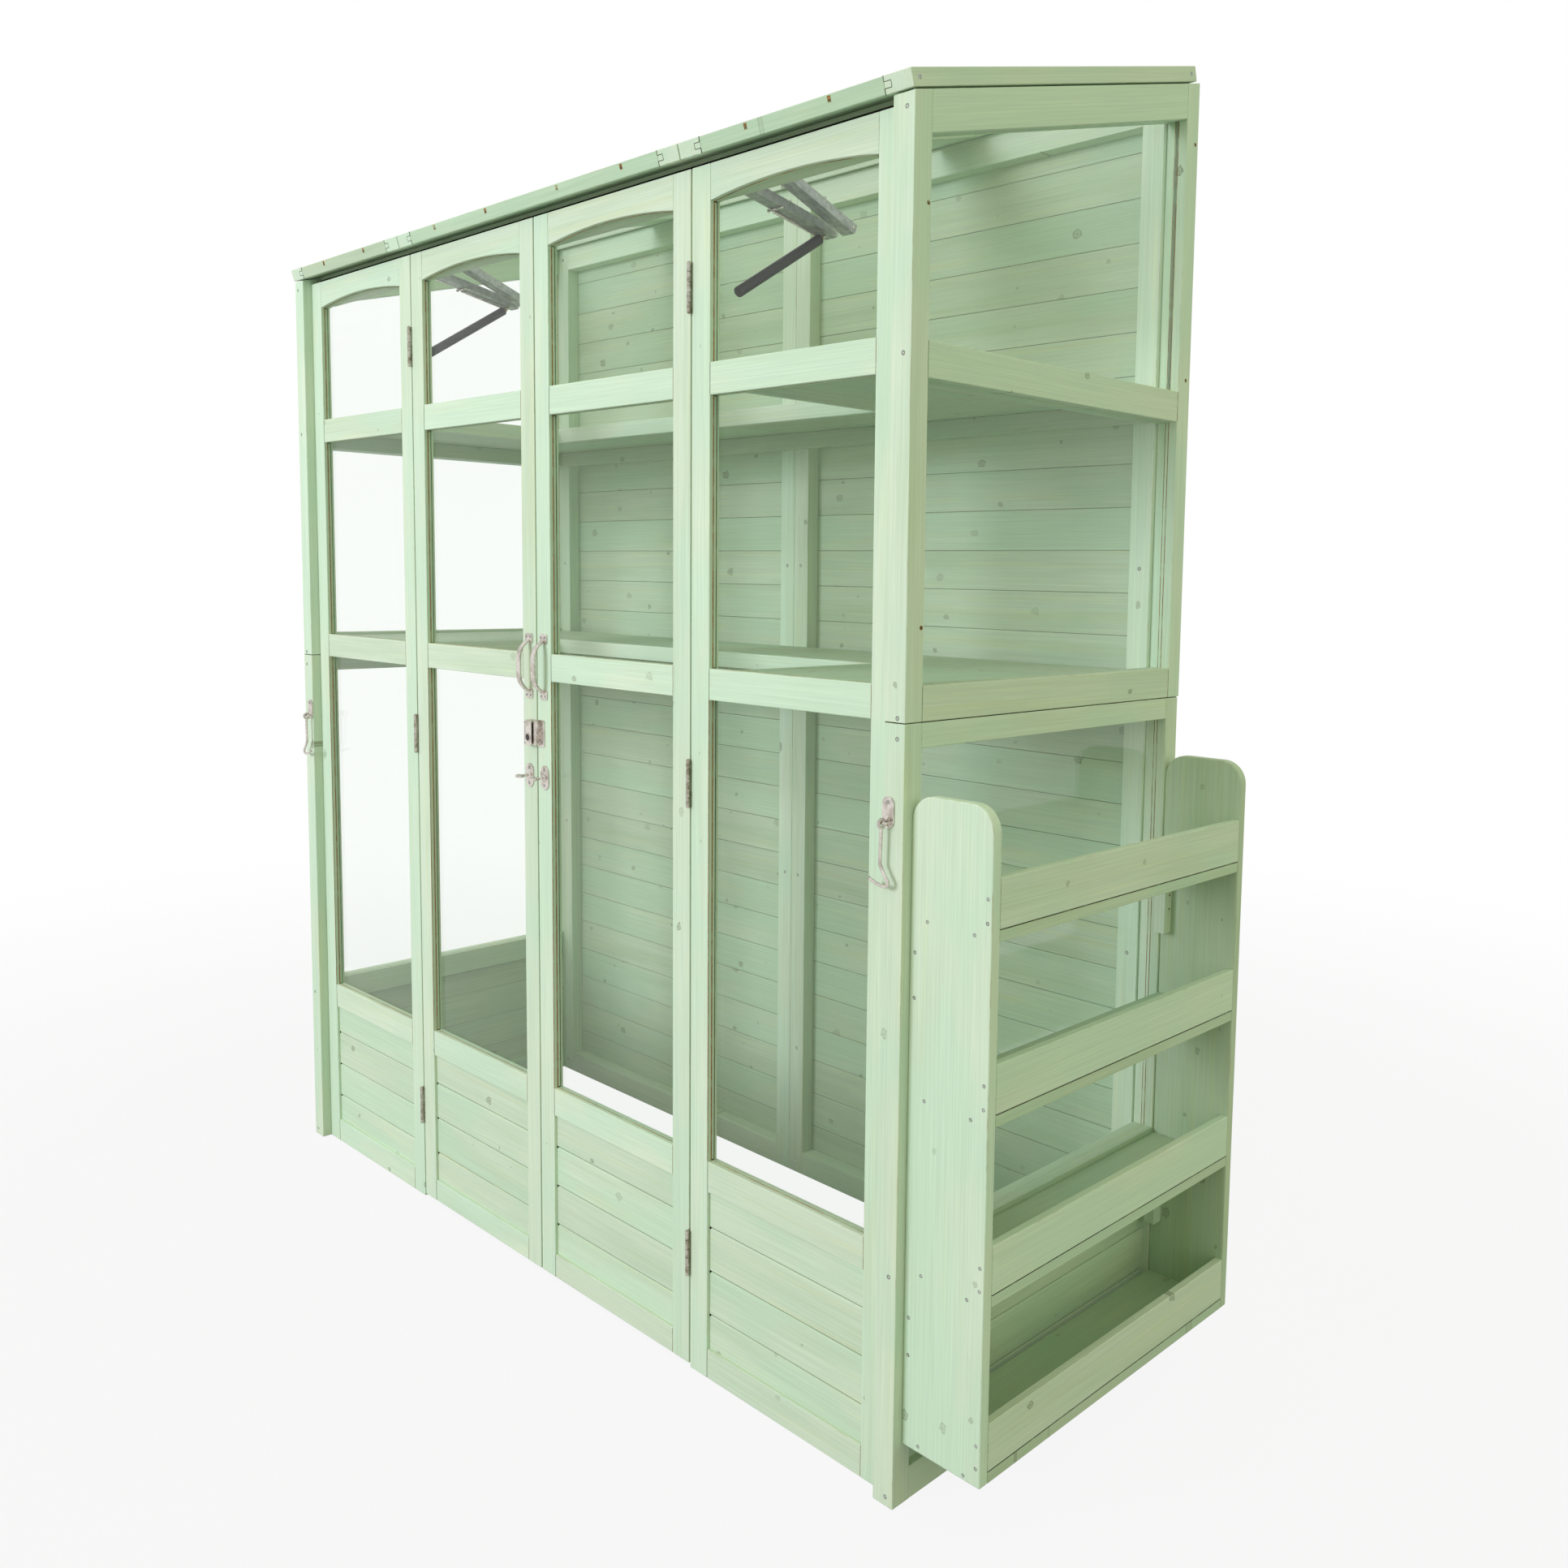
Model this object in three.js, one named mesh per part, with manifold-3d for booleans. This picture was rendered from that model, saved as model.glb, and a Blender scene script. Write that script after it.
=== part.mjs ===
// A wooden mini greenhouse with two front doors, two roof vents and a shelf unit on its right side.
// Lengths are millimetres and +Z is up. While the pieces are made, x = 0 is the middle of the
// front, y = 0 the front face of the doors and z = 0 the ground. The last lines centre the whole.
import * as THREE from "three";
import Module from "manifold-3d";

const wasm = await Module();
wasm.setup();
const { Manifold, CrossSection } = wasm;

// Overall sizes
const overallWidth = 1720;
const overallDepth = 640;
const frontHeight = 1800;
const rearRise = 178;

// Clearances
const cutOverrun = 5;
const slopeClearance = 0.3;
const paneEdgeClearance = 1;
const doorGap = 3;
const doorLift = 5;
const headerClearance = 0.5;
const ventGap = 2;

// Side frames
const sideThickness = 36;
const sideStile = 32;
const frontProjection = 18;
const frameJoint = 1039;
const lowerRearInset = 3.5;
const lowerTopRail = 33;
const sideBottomRail = 46;
const sideMidRailDrop = 334;
const sideMidRail = 46;
const slopingRail = 50;

// Front leaves
const leafCount = 4;
const leafThickness = 18;
const leafStile = 41;
const leafTopDrop = 5;
const bottomRail = 46;
const kneeRailBottom = 294;
const kneeRail = 48;
const lowBarBottom = 1038;
const lowBar = 46;
const highBarDrop = 269;
const highBar = 46;
const archDrop = 51;
const archRise = 12;
const archSteps = 10;

// Glazing and boarding
const paneThickness = 4;
const leafPaneSetback = 8;
const leafGroove = 8;
const sideGroove = 10;
const boardThickness = 9;
const leafBoardSetback = 5;
const sideBoardSetback = 12;
const boardTongue = 6;
const boardPitch = 69;
const topBoardFace = 57;
const leastBoardFace = 25;
const jointDepth = 3;
const jointHalfWidth = 3;

// Back wall and the front top rail
const backThickness = 28;
const backInset = 40;
const backStile = 39;
const backTopRail = 50;
const backBoardDrop = 27;
const headerThickness = 30;
const headerDrop = 42;

// Roof
const roofThickness = 22;
const roofGap = 2.5;
const roofOverhang = 2;
const roofRearInset = 9;
const roofStile = 47;
const roofRail = 47;
const roofGroove = 12;

// Door hinges
const topHingeDrop = 115;
const middleHingeCentre = 911;
const lowHingeCentre = 185;
const hingeLength = 72;
const hingePlate = 1.2;
const hingePlateDepth = 20;
const knuckleCount = 5;
const knuckleRadius = 4;
const knuckleGap = 0.4;
const hingePinRadius = 1.5;
const hingePinForward = 4.5;
const roundSides = 12;

// Vent hinges, two to a vent
const ventHingeInset = 90;
const ventHingeLength = 60;
const ventHingeDepth = 24;
const ventHingePlate = 1.1;
const ventKnuckleRadius = 3.3;
const ventPinBehind = 3.8;
const ventKnuckleCount = 3;

// Vent openers
const openerArmWidth = 26;
const openerArmHeight = 14;
const openerArmWall = 2;
const ventArmInset = 24;
const openerArmPitch = 40;
const framePivotBehind = 12.5;
const framePivotRise = 30;
const ventPivotBehind = 17;
const ventPivotRise = 28;
const elbowBehind = 189;
const elbowDrop = 38;
const armEnd = 6;
const openerPinRadius = 3;
const openerPinClearance = 0.5;
const bracketWall = 2;
const bracketClearance = 0.5;
const frameBracketRise = 14;
const frameBracketHeight = 30;
const cylinderRadius = 8;
const cylinderForward = 184;
const cylinderDrop = 120;

// Door handles, lock, eye plates and hooks
const handleX = 22;
const handleLow = 1015;
const handleHigh = 1108;
const handleFoot = 16;
const handleWidth = 12;
const handleReach = 25;
const handleBar = 3;
const handleSteps = 10;
const lockBottom = 926;
const lockTop = 972;
const lockInner = 1.8;
const lockOuter = 24;
const lockCaseDepth = 12;
const lockKeeperDepth = 9;
const lockCorner = 2;
const eyePlateX = 23;
const eyePlateZ = 875;
const eyePlateWidth = 17;
const eyePlateHeight = 41;
const eyePlateThickness = 2;
const eyeOuterRadius = 8;
const eyeRod = 1.8;
const eyeReach = 28;
const hookInset = 28;
const hookPlateZ = 925;
const hookPivotDrop = 13;
const hookPivotOut = 11;
const hookRod = 2.2;
const hookRingRadius = 4.6;
const stapleHalfWidth = 5;
const stapleRod = 1.6;
const hookPath = [[0, -8], [0, -58], [7, -69], [14, -77], [12, -83], [4, -84], [-10, -81], [-23, -74]];
const ringSteps = 12;

// Shelves inside
const lowerShelfTop = 1080;
const shelfBoard = 16;
const shelfSideRun = 354;
const shelfRearRun = 232;
const shelfFront = 22;
const fasciaHeight = 28;
const fasciaThickness = 12;
const battenHeight = 30;
const battenWidth = 20;
const shelfBoardPitch = 88;
const shelfJointWidth = 2;
const shelfJointDepth = 3;

// Shelf unit on the right side
const unitReach = 133;
const unitFront = -2;
const unitShortfall = 32;
const unitBoard = 16;
const unitTop = 950;
const unitShelfBottoms = [86, 318, 550, 782];
const unitCorner = 35;
const unitCornerSteps = 7;
const lipHeight = 64;
const lipThickness = 12;
const cleatSpans = [[190, 285], [667, 770]];
const cleatSize = 20;

// Places that follow from the sizes above
const sideInner = overallWidth / 2 - sideThickness;
const sideFront = -frontProjection;
const sideRear = sideFront + overallDepth;
const slope = Math.atan2(rearRise, overallDepth);
const alongSlope = (height) => height / Math.cos(slope);
const sideTopAt = (y) => frontHeight + (y - sideFront) * Math.tan(slope);
const undersideAt = (y) => sideTopAt(y) + alongSlope(roofGap);
const leafPitch = (2 * sideInner) / leafCount;
const sideMidRailBottom = frontHeight - sideMidRailDrop;
const leafTop = frontHeight - leafTopDrop;
const archSpring = leafTop - archDrop;
const highBarBottom = archSpring - highBarDrop;
const hingeCentres = [archSpring - topHingeDrop, middleHingeCentre, lowHingeCentre];
const roofFront = sideFront - roofOverhang;
const roofLength = alongSlope(sideRear - roofRearInset - roofFront);
const backFront = sideRear - backInset;
const backRear = backFront + backThickness;
const backBoardTop = sideTopAt(backRear) - backBoardDrop;
const headerFront = leafThickness + headerClearance;
const headerRear = headerFront + headerThickness;
const headerBottom = frontHeight - headerDrop;
const ventSeatX = leafPitch + ventArmInset;
const leftVentArmX = -ventSeatX;
const rightVentArmX = ventSeatX + openerArmPitch;
const framePivot = [headerRear + framePivotBehind, headerBottom + framePivotRise];
const ventPivot = [framePivot[0] + ventPivotBehind, framePivot[1] + ventPivotRise];
const elbow = [framePivot[0] + elbowBehind, framePivot[1] - elbowDrop];
const cylinderLow = [elbow[0] - cylinderForward, elbow[1] - cylinderDrop];
const frameBracketBottom = headerBottom + frameBracketRise;
const frameBracketTop = frameBracketBottom + frameBracketHeight;
const hookX = overallWidth / 2 - hookInset;
const hookPivotZ = hookPlateZ - hookPivotDrop;
const shelfTops = { lower: lowerShelfTop, upper: sideMidRailBottom + sideMidRail };
const shelfInnerX = sideInner - shelfSideRun;
const shelfBackRun = backFront - shelfRearRun;
const unitLength = overallDepth - unitShortfall;

// Basic shapes

// A box between its low and high corners.
function box(low, high) {
  return Manifold.cube(low.map((value, i) => high[i] - value)).translate(low);
}

// A prism along X, whose outline is in (y, z).
function alongX(points, from, to) {
  const turn = [0, 1, 0, 0, 0, 0, 1, 0, 1, 0, 0, 0, from, 0, 0, 1];
  return new CrossSection([points], "EvenOdd").extrude(to - from).transform(turn);
}

// A prism along Y, whose outline is in (x, z).
function alongY(points, from, to) {
  const turn = [1, 0, 0, 0, 0, 0, 1, 0, 0, 1, 0, 0, 0, from, 0, 1];
  return new CrossSection([points], "EvenOdd").extrude(to - from).transform(turn);
}

// A prism along Z, whose outline is in (x, y).
function alongZ(points, from, to) {
  return new CrossSection([points], "EvenOdd").extrude(to - from).translate([0, 0, from]);
}

// A round bar along X through a point of the (y, z) plane.
function barX(centre, radius, from, to) {
  return alongX(circle(centre, radius), from, to);
}

function circle(centre, radius, sides = roundSides) {
  return Array.from({ length: sides }, (_, i) => {
    const angle = (2 * Math.PI * i) / sides;
    return [centre[0] + radius * Math.cos(angle), centre[1] + radius * Math.sin(angle)];
  });
}

// A bent rod: a chain of rounded lengths through the points.
function rod(points, radius) {
  const balls = points.map((point) => Manifold.sphere(radius, roundSides).translate(point));
  return Manifold.union(balls.slice(1).map((ball, i) => Manifold.hull([balls[i], ball])));
}

function ring(pointAt, radius) {
  const points = Array.from({ length: ringSteps + 1 }, (_, i) => pointAt((2 * Math.PI * i) / ringSteps));
  return rod(points, radius);
}

function mirrored(solid) {
  return solid.mirror([1, 0, 0]);
}

function withoutAll(solid, cuts) {
  return solid.subtract(Manifold.union(cuts));
}

// Moves a solid made in the roof's own axes (x, up the slope, out of the slope) to its place.
function onRoof(solid) {
  const slopeDegrees = THREE.MathUtils.radToDeg(slope);
  return solid.rotate([slopeDegrees, 0, 0]).translate([0, roofFront, undersideAt(roofFront)]);
}

// Boarding

// Heights of the joints between boards, counted down from the top.
function jointHeights(bottom, top) {
  const heights = [];
  for (let z = top - topBoardFace; z > bottom + leastBoardFace; z -= boardPitch) {
    heights.push(z);
  }
  return heights;
}

// The section of a panel of boards, with a V joint on both faces between neighbouring boards.
function boardOutline(face, bottom, top, joints) {
  const far = face + boardThickness;
  const front = joints.flatMap((z) => [
    [face, z + jointHalfWidth],
    [face + jointDepth, z],
    [face, z - jointHalfWidth],
  ]);
  const back = joints.flatMap((z) => [
    [far, z + jointHalfWidth],
    [far - jointDepth, z],
    [far, z - jointHalfWidth],
  ]);
  return [[face, top], ...front, [face, bottom], [far, bottom], ...back.reverse(), [far, top]];
}

// Side frames, made for the right side

function sideSlot(outline, middle, thickness) {
  return alongX(outline, middle - thickness / 2, middle + thickness / 2);
}

const sideMiddle = sideInner + sideThickness / 2;
const sideOpeningFront = sideFront + sideStile;
const sideOpeningRear = sideRear - sideStile;
const lowerOpeningRear = sideOpeningRear - lowerRearInset;
const sideRailUnder = (y) => sideTopAt(y) - alongSlope(slopingRail);

// The outline in (y, z) of a side opening, grown by a margin on every edge.
function upperSideOutline(bottom, margin) {
  const front = sideOpeningFront - margin;
  const rear = sideOpeningRear + margin;
  return [
    [front, bottom - margin],
    [rear, bottom - margin],
    [rear, sideRailUnder(rear) + margin],
    [front, sideRailUnder(front) + margin],
  ];
}

function lowerSideOutline(bottom, top, margin) {
  const front = sideOpeningFront - margin;
  const rear = lowerOpeningRear + margin;
  return [
    [front, bottom - margin],
    [rear, bottom - margin],
    [rear, top + margin],
    [front, top + margin],
  ];
}

function upperSideFrame() {
  const outer = [
    [sideFront, frameJoint],
    [sideRear, frameJoint],
    [sideRear, sideTopAt(sideRear)],
    [sideFront, frontHeight],
  ];
  const low = -cutOverrun + sideInner;
  const high = sideInner + sideThickness + cutOverrun;
  const glassBottom = frameJoint + sideBottomRail;
  const lowOpening = lowerSideOutline(glassBottom, sideMidRailBottom, 0);
  lowOpening[1][0] = sideOpeningRear;
  lowOpening[2][0] = sideOpeningRear;
  return withoutAll(alongX(outer, sideInner, sideInner + sideThickness), [
    alongX(lowOpening, low, high),
    alongX(upperSideOutline(sideMidRailBottom + sideMidRail, 0), low, high),
    sideSlot(upperSideOutline(glassBottom, sideGroove), sideMiddle, paneThickness),
  ]);
}

function lowerSideFrame() {
  const low = sideInner - cutOverrun;
  const high = sideInner + sideThickness + cutOverrun;
  const boardMiddle = sideInner + sideThickness - sideBoardSetback - boardThickness / 2;
  const kneeTop = kneeRailBottom + kneeRail;
  const corner = [sideInner + sideThickness, sideRear - lowerRearInset, frameJoint];
  const body = box([sideInner, sideFront, 0], corner);
  return withoutAll(body, [
    alongX(lowerSideOutline(bottomRail, kneeRailBottom, 0), low, high),
    alongX(lowerSideOutline(kneeTop, frameJoint - lowerTopRail, 0), low, high),
    sideSlot(lowerSideOutline(kneeTop, frameJoint - lowerTopRail, sideGroove), sideMiddle, paneThickness),
    sideSlot(lowerSideOutline(bottomRail, kneeRailBottom, boardTongue), boardMiddle, boardThickness),
  ]);
}

function upperSidePane() {
  const outline = upperSideOutline(frameJoint + sideBottomRail, sideGroove - paneEdgeClearance);
  return sideSlot(outline, sideMiddle, paneThickness);
}

function lowerSidePane() {
  const margin = sideGroove - paneEdgeClearance;
  const outline = lowerSideOutline(kneeRailBottom + kneeRail, frameJoint - lowerTopRail, margin);
  return sideSlot(outline, sideMiddle, paneThickness);
}

function sideBoards() {
  const margin = boardTongue - paneEdgeClearance;
  const face = sideInner + sideThickness - sideBoardSetback - boardThickness;
  const joints = jointHeights(bottomRail, kneeRailBottom);
  const outline = boardOutline(face, bottomRail - margin, kneeRailBottom + margin, joints);
  return alongY(outline, sideOpeningFront - margin, lowerOpeningRear + margin);
}

// Front leaves

// The opening under the arched top rail, in (x, z).
function archOutline(low, high, bottom) {
  const half = (high - low) / 2;
  const middle = (high + low) / 2;
  const radius = (half * half + archRise * archRise) / (2 * archRise);
  const reach = Math.asin(half / radius);
  const arc = Array.from({ length: archSteps + 1 }, (_, i) => {
    const angle = reach * (1 - (2 * i) / archSteps);
    return [middle + radius * Math.sin(angle), archSpring + archRise - radius * (1 - Math.cos(angle))];
  });
  return [[low, bottom], [high, bottom], ...arc];
}

function leafFrame(low, high, bottom) {
  const inLow = low + leafStile;
  const inHigh = high - leafStile;
  const front = -cutOverrun;
  const back = leafThickness + cutOverrun;
  const opening = (from, to) => box([inLow, front, from], [inHigh, back, to]);
  const kneeTop = kneeRailBottom + kneeRail;
  const paneTop = archSpring + archRise + leafGroove;
  return withoutAll(box([low, 0, bottom], [high, leafThickness, leafTop]), [
    opening(bottomRail, kneeRailBottom),
    opening(kneeTop, lowBarBottom),
    opening(lowBarBottom + lowBar, highBarBottom),
    alongY(archOutline(inLow, inHigh, highBarBottom + highBar), front, back),
    box(
      [inLow - leafGroove, leafPaneSetback, kneeTop - leafGroove],
      [inHigh + leafGroove, leafPaneSetback + paneThickness, paneTop],
    ),
    box(
      [inLow - boardTongue, leafBoardSetback, bottomRail - boardTongue],
      [inHigh + boardTongue, leafBoardSetback + boardThickness, kneeRailBottom + boardTongue],
    ),
  ]);
}

function leafPane(low, high) {
  const margin = leafGroove - paneEdgeClearance;
  return box(
    [low + leafStile - margin, leafPaneSetback, kneeRailBottom + kneeRail - margin],
    [high - leafStile + margin, leafPaneSetback + paneThickness, archSpring + archRise + margin],
  );
}

function leafBoards(low, high) {
  const margin = boardTongue - paneEdgeClearance;
  const joints = jointHeights(bottomRail, kneeRailBottom);
  const outline = boardOutline(leafBoardSetback, bottomRail - margin, kneeRailBottom + margin, joints);
  return alongX(outline, low + leafStile - margin, high - leafStile + margin);
}

// Door hinges, made for the left door, whose pin stands at x = -leafPitch

const pinPlace = [-leafPitch, -hingePinForward];
const knuckleLength = hingeLength / knuckleCount;

// Round zones over every other knuckle, starting with the first or the second.
function knuckles(centre, first, radius, grow) {
  const zones = [];
  for (let i = first; i < knuckleCount; i += 2) {
    const from = centre - hingeLength / 2 + i * knuckleLength;
    zones.push(alongZ(circle(pinPlace, radius), from - grow, from + knuckleLength + grow));
  }
  return Manifold.union(zones);
}

function hingePlateSolid(low, high, centre) {
  const front = -hingePinForward;
  const half = hingeLength / 2;
  return box([low, front, centre - half], [high, front + hingePlateDepth, centre + half]);
}

// The half on the fixed leaf, with the pin.
function fixedHingeHalf(centre) {
  const edge = -leafPitch - doorGap / 2;
  const pin = alongZ(circle(pinPlace, hingePinRadius), centre - hingeLength / 2, centre + hingeLength / 2);
  return hingePlateSolid(edge, edge + hingePlate, centre)
    .add(knuckles(centre, 0, knuckleRadius, 0))
    .subtract(knuckles(centre, 1, knuckleRadius + knuckleGap, knuckleGap / 2))
    .add(pin);
}

// The half on the door, bored for the pin.
function doorHingeHalf(centre) {
  const edge = -leafPitch + doorGap / 2;
  const bore = alongZ(
    circle(pinPlace, hingePinRadius + knuckleGap),
    centre - hingeLength / 2 - cutOverrun,
    centre + hingeLength / 2 + cutOverrun,
  );
  return hingePlateSolid(edge - hingePlate, edge, centre)
    .add(knuckles(centre, 1, knuckleRadius, 0))
    .subtract(knuckles(centre, 0, knuckleRadius + knuckleGap, knuckleGap / 2))
    .subtract(bore);
}

function leftDoorFrame() {
  const wood = leafFrame(-leafPitch + doorGap / 2, -doorGap / 2, doorLift);
  return Manifold.union([wood, ...hingeCentres.map(doorHingeHalf)]);
}

// Roof, made in the roof's own axes

const panelEdges = [-overallWidth / 2, -leafPitch, leafPitch, overallWidth / 2];
const paneSlotLow = roofThickness / 2 - paneThickness / 2 - slopeClearance;
const paneSlotHigh = roofThickness / 2 + paneThickness / 2 + slopeClearance;

function roofFrame(low, high) {
  const inLow = low + roofStile;
  const inHigh = high - roofStile;
  const inFront = roofRail;
  const inRear = roofLength - roofRail;
  return withoutAll(box([low, 0, 0], [high, roofLength, roofThickness]), [
    box([inLow, inFront, -cutOverrun], [inHigh, inRear, roofThickness + cutOverrun]),
    box(
      [inLow - roofGroove, inFront - roofGroove, paneSlotLow],
      [inHigh + roofGroove, inRear + roofGroove, paneSlotHigh],
    ),
  ]);
}

function roofPane(low, high) {
  const margin = roofGroove - paneEdgeClearance;
  return box(
    [low + roofStile - margin, roofRail - margin, paneSlotLow + slopeClearance],
    [high - roofStile + margin, roofLength - roofRail + margin, paneSlotHigh - slopeClearance],
  );
}

// Vent hinges, in the roof's own axes, made for the right vent

const ventPin = [roofLength + ventPinBehind, -roofGap / 2];
const ventHingeCentres = [leafPitch + ventHingeInset, overallWidth / 2 - ventHingeInset];
const ventKnuckle = ventHingeLength / ventKnuckleCount;
const ventPlateFront = roofLength - ventHingeDepth;

// The half on the vent: a plate under the rear rail and the middle knuckle, bored for the pin.
function ventHingeHalf(centre) {
  const low = centre - ventHingeLength / 2;
  const high = centre + ventHingeLength / 2;
  const plate = box([low, ventPlateFront, -ventHingePlate], [high, ventPin[0], slopeClearance]);
  const reach = ventKnuckleRadius + knuckleGap;
  const middleLow = centre - ventKnuckle / 2;
  const middleHigh = centre + ventKnuckle / 2;
  return plate
    .subtract(barX(ventPin, reach, low - cutOverrun, high + cutOverrun))
    .add(
      box(
        [middleLow, roofLength - ventHingePlate, -ventHingePlate],
        [middleHigh, ventPin[0], slopeClearance],
      ),
    )
    .add(barX(ventPin, ventKnuckleRadius, middleLow, middleHigh))
    .subtract(barX(ventPin, hingePinRadius + knuckleGap, low - cutOverrun, high + cutOverrun));
}

// The half on the back wall: a plate let into its top, the outer knuckles and the pin.
function wallHingeHalf(centre) {
  const low = centre - ventHingeLength / 2;
  const high = centre + ventHingeLength / 2;
  const plateBottom = -roofGap - ventHingePlate;
  const plate = box([low, ventPlateFront, plateBottom], [high, ventPin[0], ventHingePlate - roofGap]);
  const zoneReach = ventKnuckle / 2 + knuckleGap;
  const zone = barX(ventPin, ventKnuckleRadius + knuckleGap, centre - zoneReach, centre + zoneReach);
  return plate
    .add(barX(ventPin, ventKnuckleRadius, low, high))
    .subtract(zone)
    .add(barX(ventPin, hingePinRadius, low, high));
}

// The seat that both plates lie in, cut into the back wall's sloping top.
function ventHingeSeat(centre) {
  const reach = ventHingeLength / 2 + knuckleGap;
  return box(
    [centre - reach, ventPlateFront - knuckleGap, -roofGap],
    [centre + reach, roofLength + cutOverrun + backThickness, roofGap],
  );
}

function rightVentFrame() {
  const frame = roofFrame(leafPitch + ventGap / 2, overallWidth / 2);
  return Manifold.union([frame, ...ventHingeCentres.map(ventHingeHalf)]);
}

// Back wall and front top rail

const seatedTopAt = (y) => undersideAt(y) - alongSlope(slopeClearance);

// A rail across the greenhouse whose top follows the roof, in (y, z).
function underRoofOutline(front, rear, bottom) {
  return [
    [front, bottom],
    [rear, bottom],
    [rear, seatedTopAt(rear)],
    [front, seatedTopAt(front)],
  ];
}

function rightBackFrame() {
  const opening = box(
    [backStile, backFront - cutOverrun, bottomRail],
    [sideInner - backStile, backRear + cutOverrun, seatedTopAt(backFront) - backTopRail],
  );
  return alongX(underRoofOutline(backFront, backRear, 0), 0, sideInner)
    .subtract(opening)
    .subtract(Manifold.union(ventHingeCentres.map((centre) => onRoof(ventHingeSeat(centre)))))
    .add(Manifold.union(ventHingeCentres.map((centre) => onRoof(wallHingeHalf(centre)))));
}

function backBoards() {
  const joints = jointHeights(0, backBoardTop);
  return alongX(boardOutline(backRear, 0, backBoardTop, joints), -sideInner, sideInner);
}

// Vent openers, both of the same hand: the frame arm is to the left of the vent arm

const frameArmX = (ventArmX) => ventArmX - openerArmPitch;

// The direction and length from one (y, z) place to another.
function span(from, to) {
  const dy = to[0] - from[0];
  const dz = to[1] - from[1];
  return { length: Math.hypot(dy, dz), angle: THREE.MathUtils.radToDeg(Math.atan2(dz, dy)) };
}

// A channel arm from its pivot to its far end, open below, bored at the pivot.
function channelArm(centreX, from, to) {
  const { length, angle } = span(from, to);
  const half = openerArmWidth / 2;
  const top = openerArmHeight / 2;
  const inner = half - openerArmWall;
  return box([-half, -armEnd, -top], [half, length + armEnd, top])
    .subtract(
      box(
        [-inner, -armEnd - cutOverrun, -top - cutOverrun],
        [inner, length + armEnd + cutOverrun, top - openerArmWall],
      ),
    )
    .subtract(barX([0, 0], openerPinRadius + openerPinClearance, -half - cutOverrun, half + cutOverrun))
    .rotate([angle, 0, 0])
    .translate([centreX, from[0], from[1]]);
}

const cheekInner = openerArmWidth / 2 + bracketClearance;
const cheekOuter = cheekInner + bracketWall;

// Two cheeks and the pin that an arm turns on.
function bracketCheeks(centreX, pivot, low, high) {
  const sides = [-1, 1].map((side) => {
    const edges = [side * cheekInner, side * cheekOuter].sort((a, b) => a - b);
    return box([centreX + edges[0], low[0], low[1]], [centreX + edges[1], high[0], high[1]]);
  });
  return [...sides, barX(pivot, openerPinRadius, centreX - cheekOuter, centreX + cheekOuter)];
}

// The bracket on the back of the front top rail.
function frameBracket(ventArmX) {
  const armX = frameArmX(ventArmX);
  const plate = box(
    [armX - cheekOuter, headerRear, frameBracketBottom],
    [armX + cheekOuter, headerRear + bracketWall, frameBracketTop],
  );
  const low = [headerRear, framePivot[1] - armEnd];
  const high = [framePivot[0] + armEnd, framePivot[1] + armEnd];
  return Manifold.union([plate, ...bracketCheeks(armX, framePivot, low, high)]);
}

// The roof's own axes for a place given in (y, z).
function roofPlace([y, z]) {
  const dy = y - roofFront;
  const dz = z - undersideAt(roofFront);
  return [dy * Math.cos(slope) + dz * Math.sin(slope), dz * Math.cos(slope) - dy * Math.sin(slope)];
}

// The bracket at a vent arm, in the roof's own axes. Its plate reaches to under the inner stile.
function ventBracket(ventArmX) {
  const seatX = Math.sign(ventArmX) * ventSeatX;
  const pivot = roofPlace(ventPivot);
  const low = [pivot[0] - armEnd, pivot[1] - openerPinRadius - bracketWall];
  const high = [pivot[0] + armEnd, slopeClearance];
  const plate = box(
    [Math.min(ventArmX, seatX) - cheekOuter, low[0], -bracketWall],
    [Math.max(ventArmX, seatX) + cheekOuter, high[0], slopeClearance],
  );
  return Manifold.union([plate, ...bracketCheeks(ventArmX, pivot, low, high)]);
}

function ventArm(ventArmX) {
  return channelArm(ventArmX, ventPivot, elbow);
}

// The arm on the front top rail, with the elbow's pin and the wax cylinder that it carries.
function frameArm(ventArmX) {
  const armX = frameArmX(ventArmX);
  const elbowPin = barX(elbow, openerPinRadius, armX - cheekInner, ventArmX - cheekInner);
  const { length, angle } = span(elbow, cylinderLow);
  const cylinder = alongY(circle([0, 0], cylinderRadius), 0, length)
    .rotate([angle, 0, 0])
    .translate([armX, elbow[0], elbow[1]]);
  return Manifold.union([channelArm(armX, framePivot, elbow), elbowPin, cylinder]);
}

// Door furniture, made for the left door

// A bowed flat bar on two feet, in (y, z).
function handle() {
  const middle = (handleLow + handleHigh) / 2;
  const half = (handleHigh - handleLow) / 2;
  const rise = handleReach - handleBar / 2;
  const radius = (half * half + rise * rise) / (2 * rise);
  const reach = Math.asin(half / radius);
  const arc = (grow) =>
    Array.from({ length: handleSteps + 1 }, (_, i) => {
      const angle = reach * ((2 * i) / handleSteps - 1);
      const bow = (radius + grow) * Math.cos(angle) - (radius - rise);
      return [Math.min(-bow, 0), middle + (radius + grow) * Math.sin(angle)];
    });
  const outline = [...arc(handleBar / 2), ...arc(-handleBar / 2).reverse()];
  const low = -handleX - handleWidth / 2;
  const high = -handleX + handleWidth / 2;
  const feet = [handleLow, handleHigh].map((z) =>
    box([low, -handleBar, z - handleFoot / 2], [high, 0, z + handleFoot / 2]),
  );
  return Manifold.union([alongX(outline, low, high), ...feet]);
}

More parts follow.
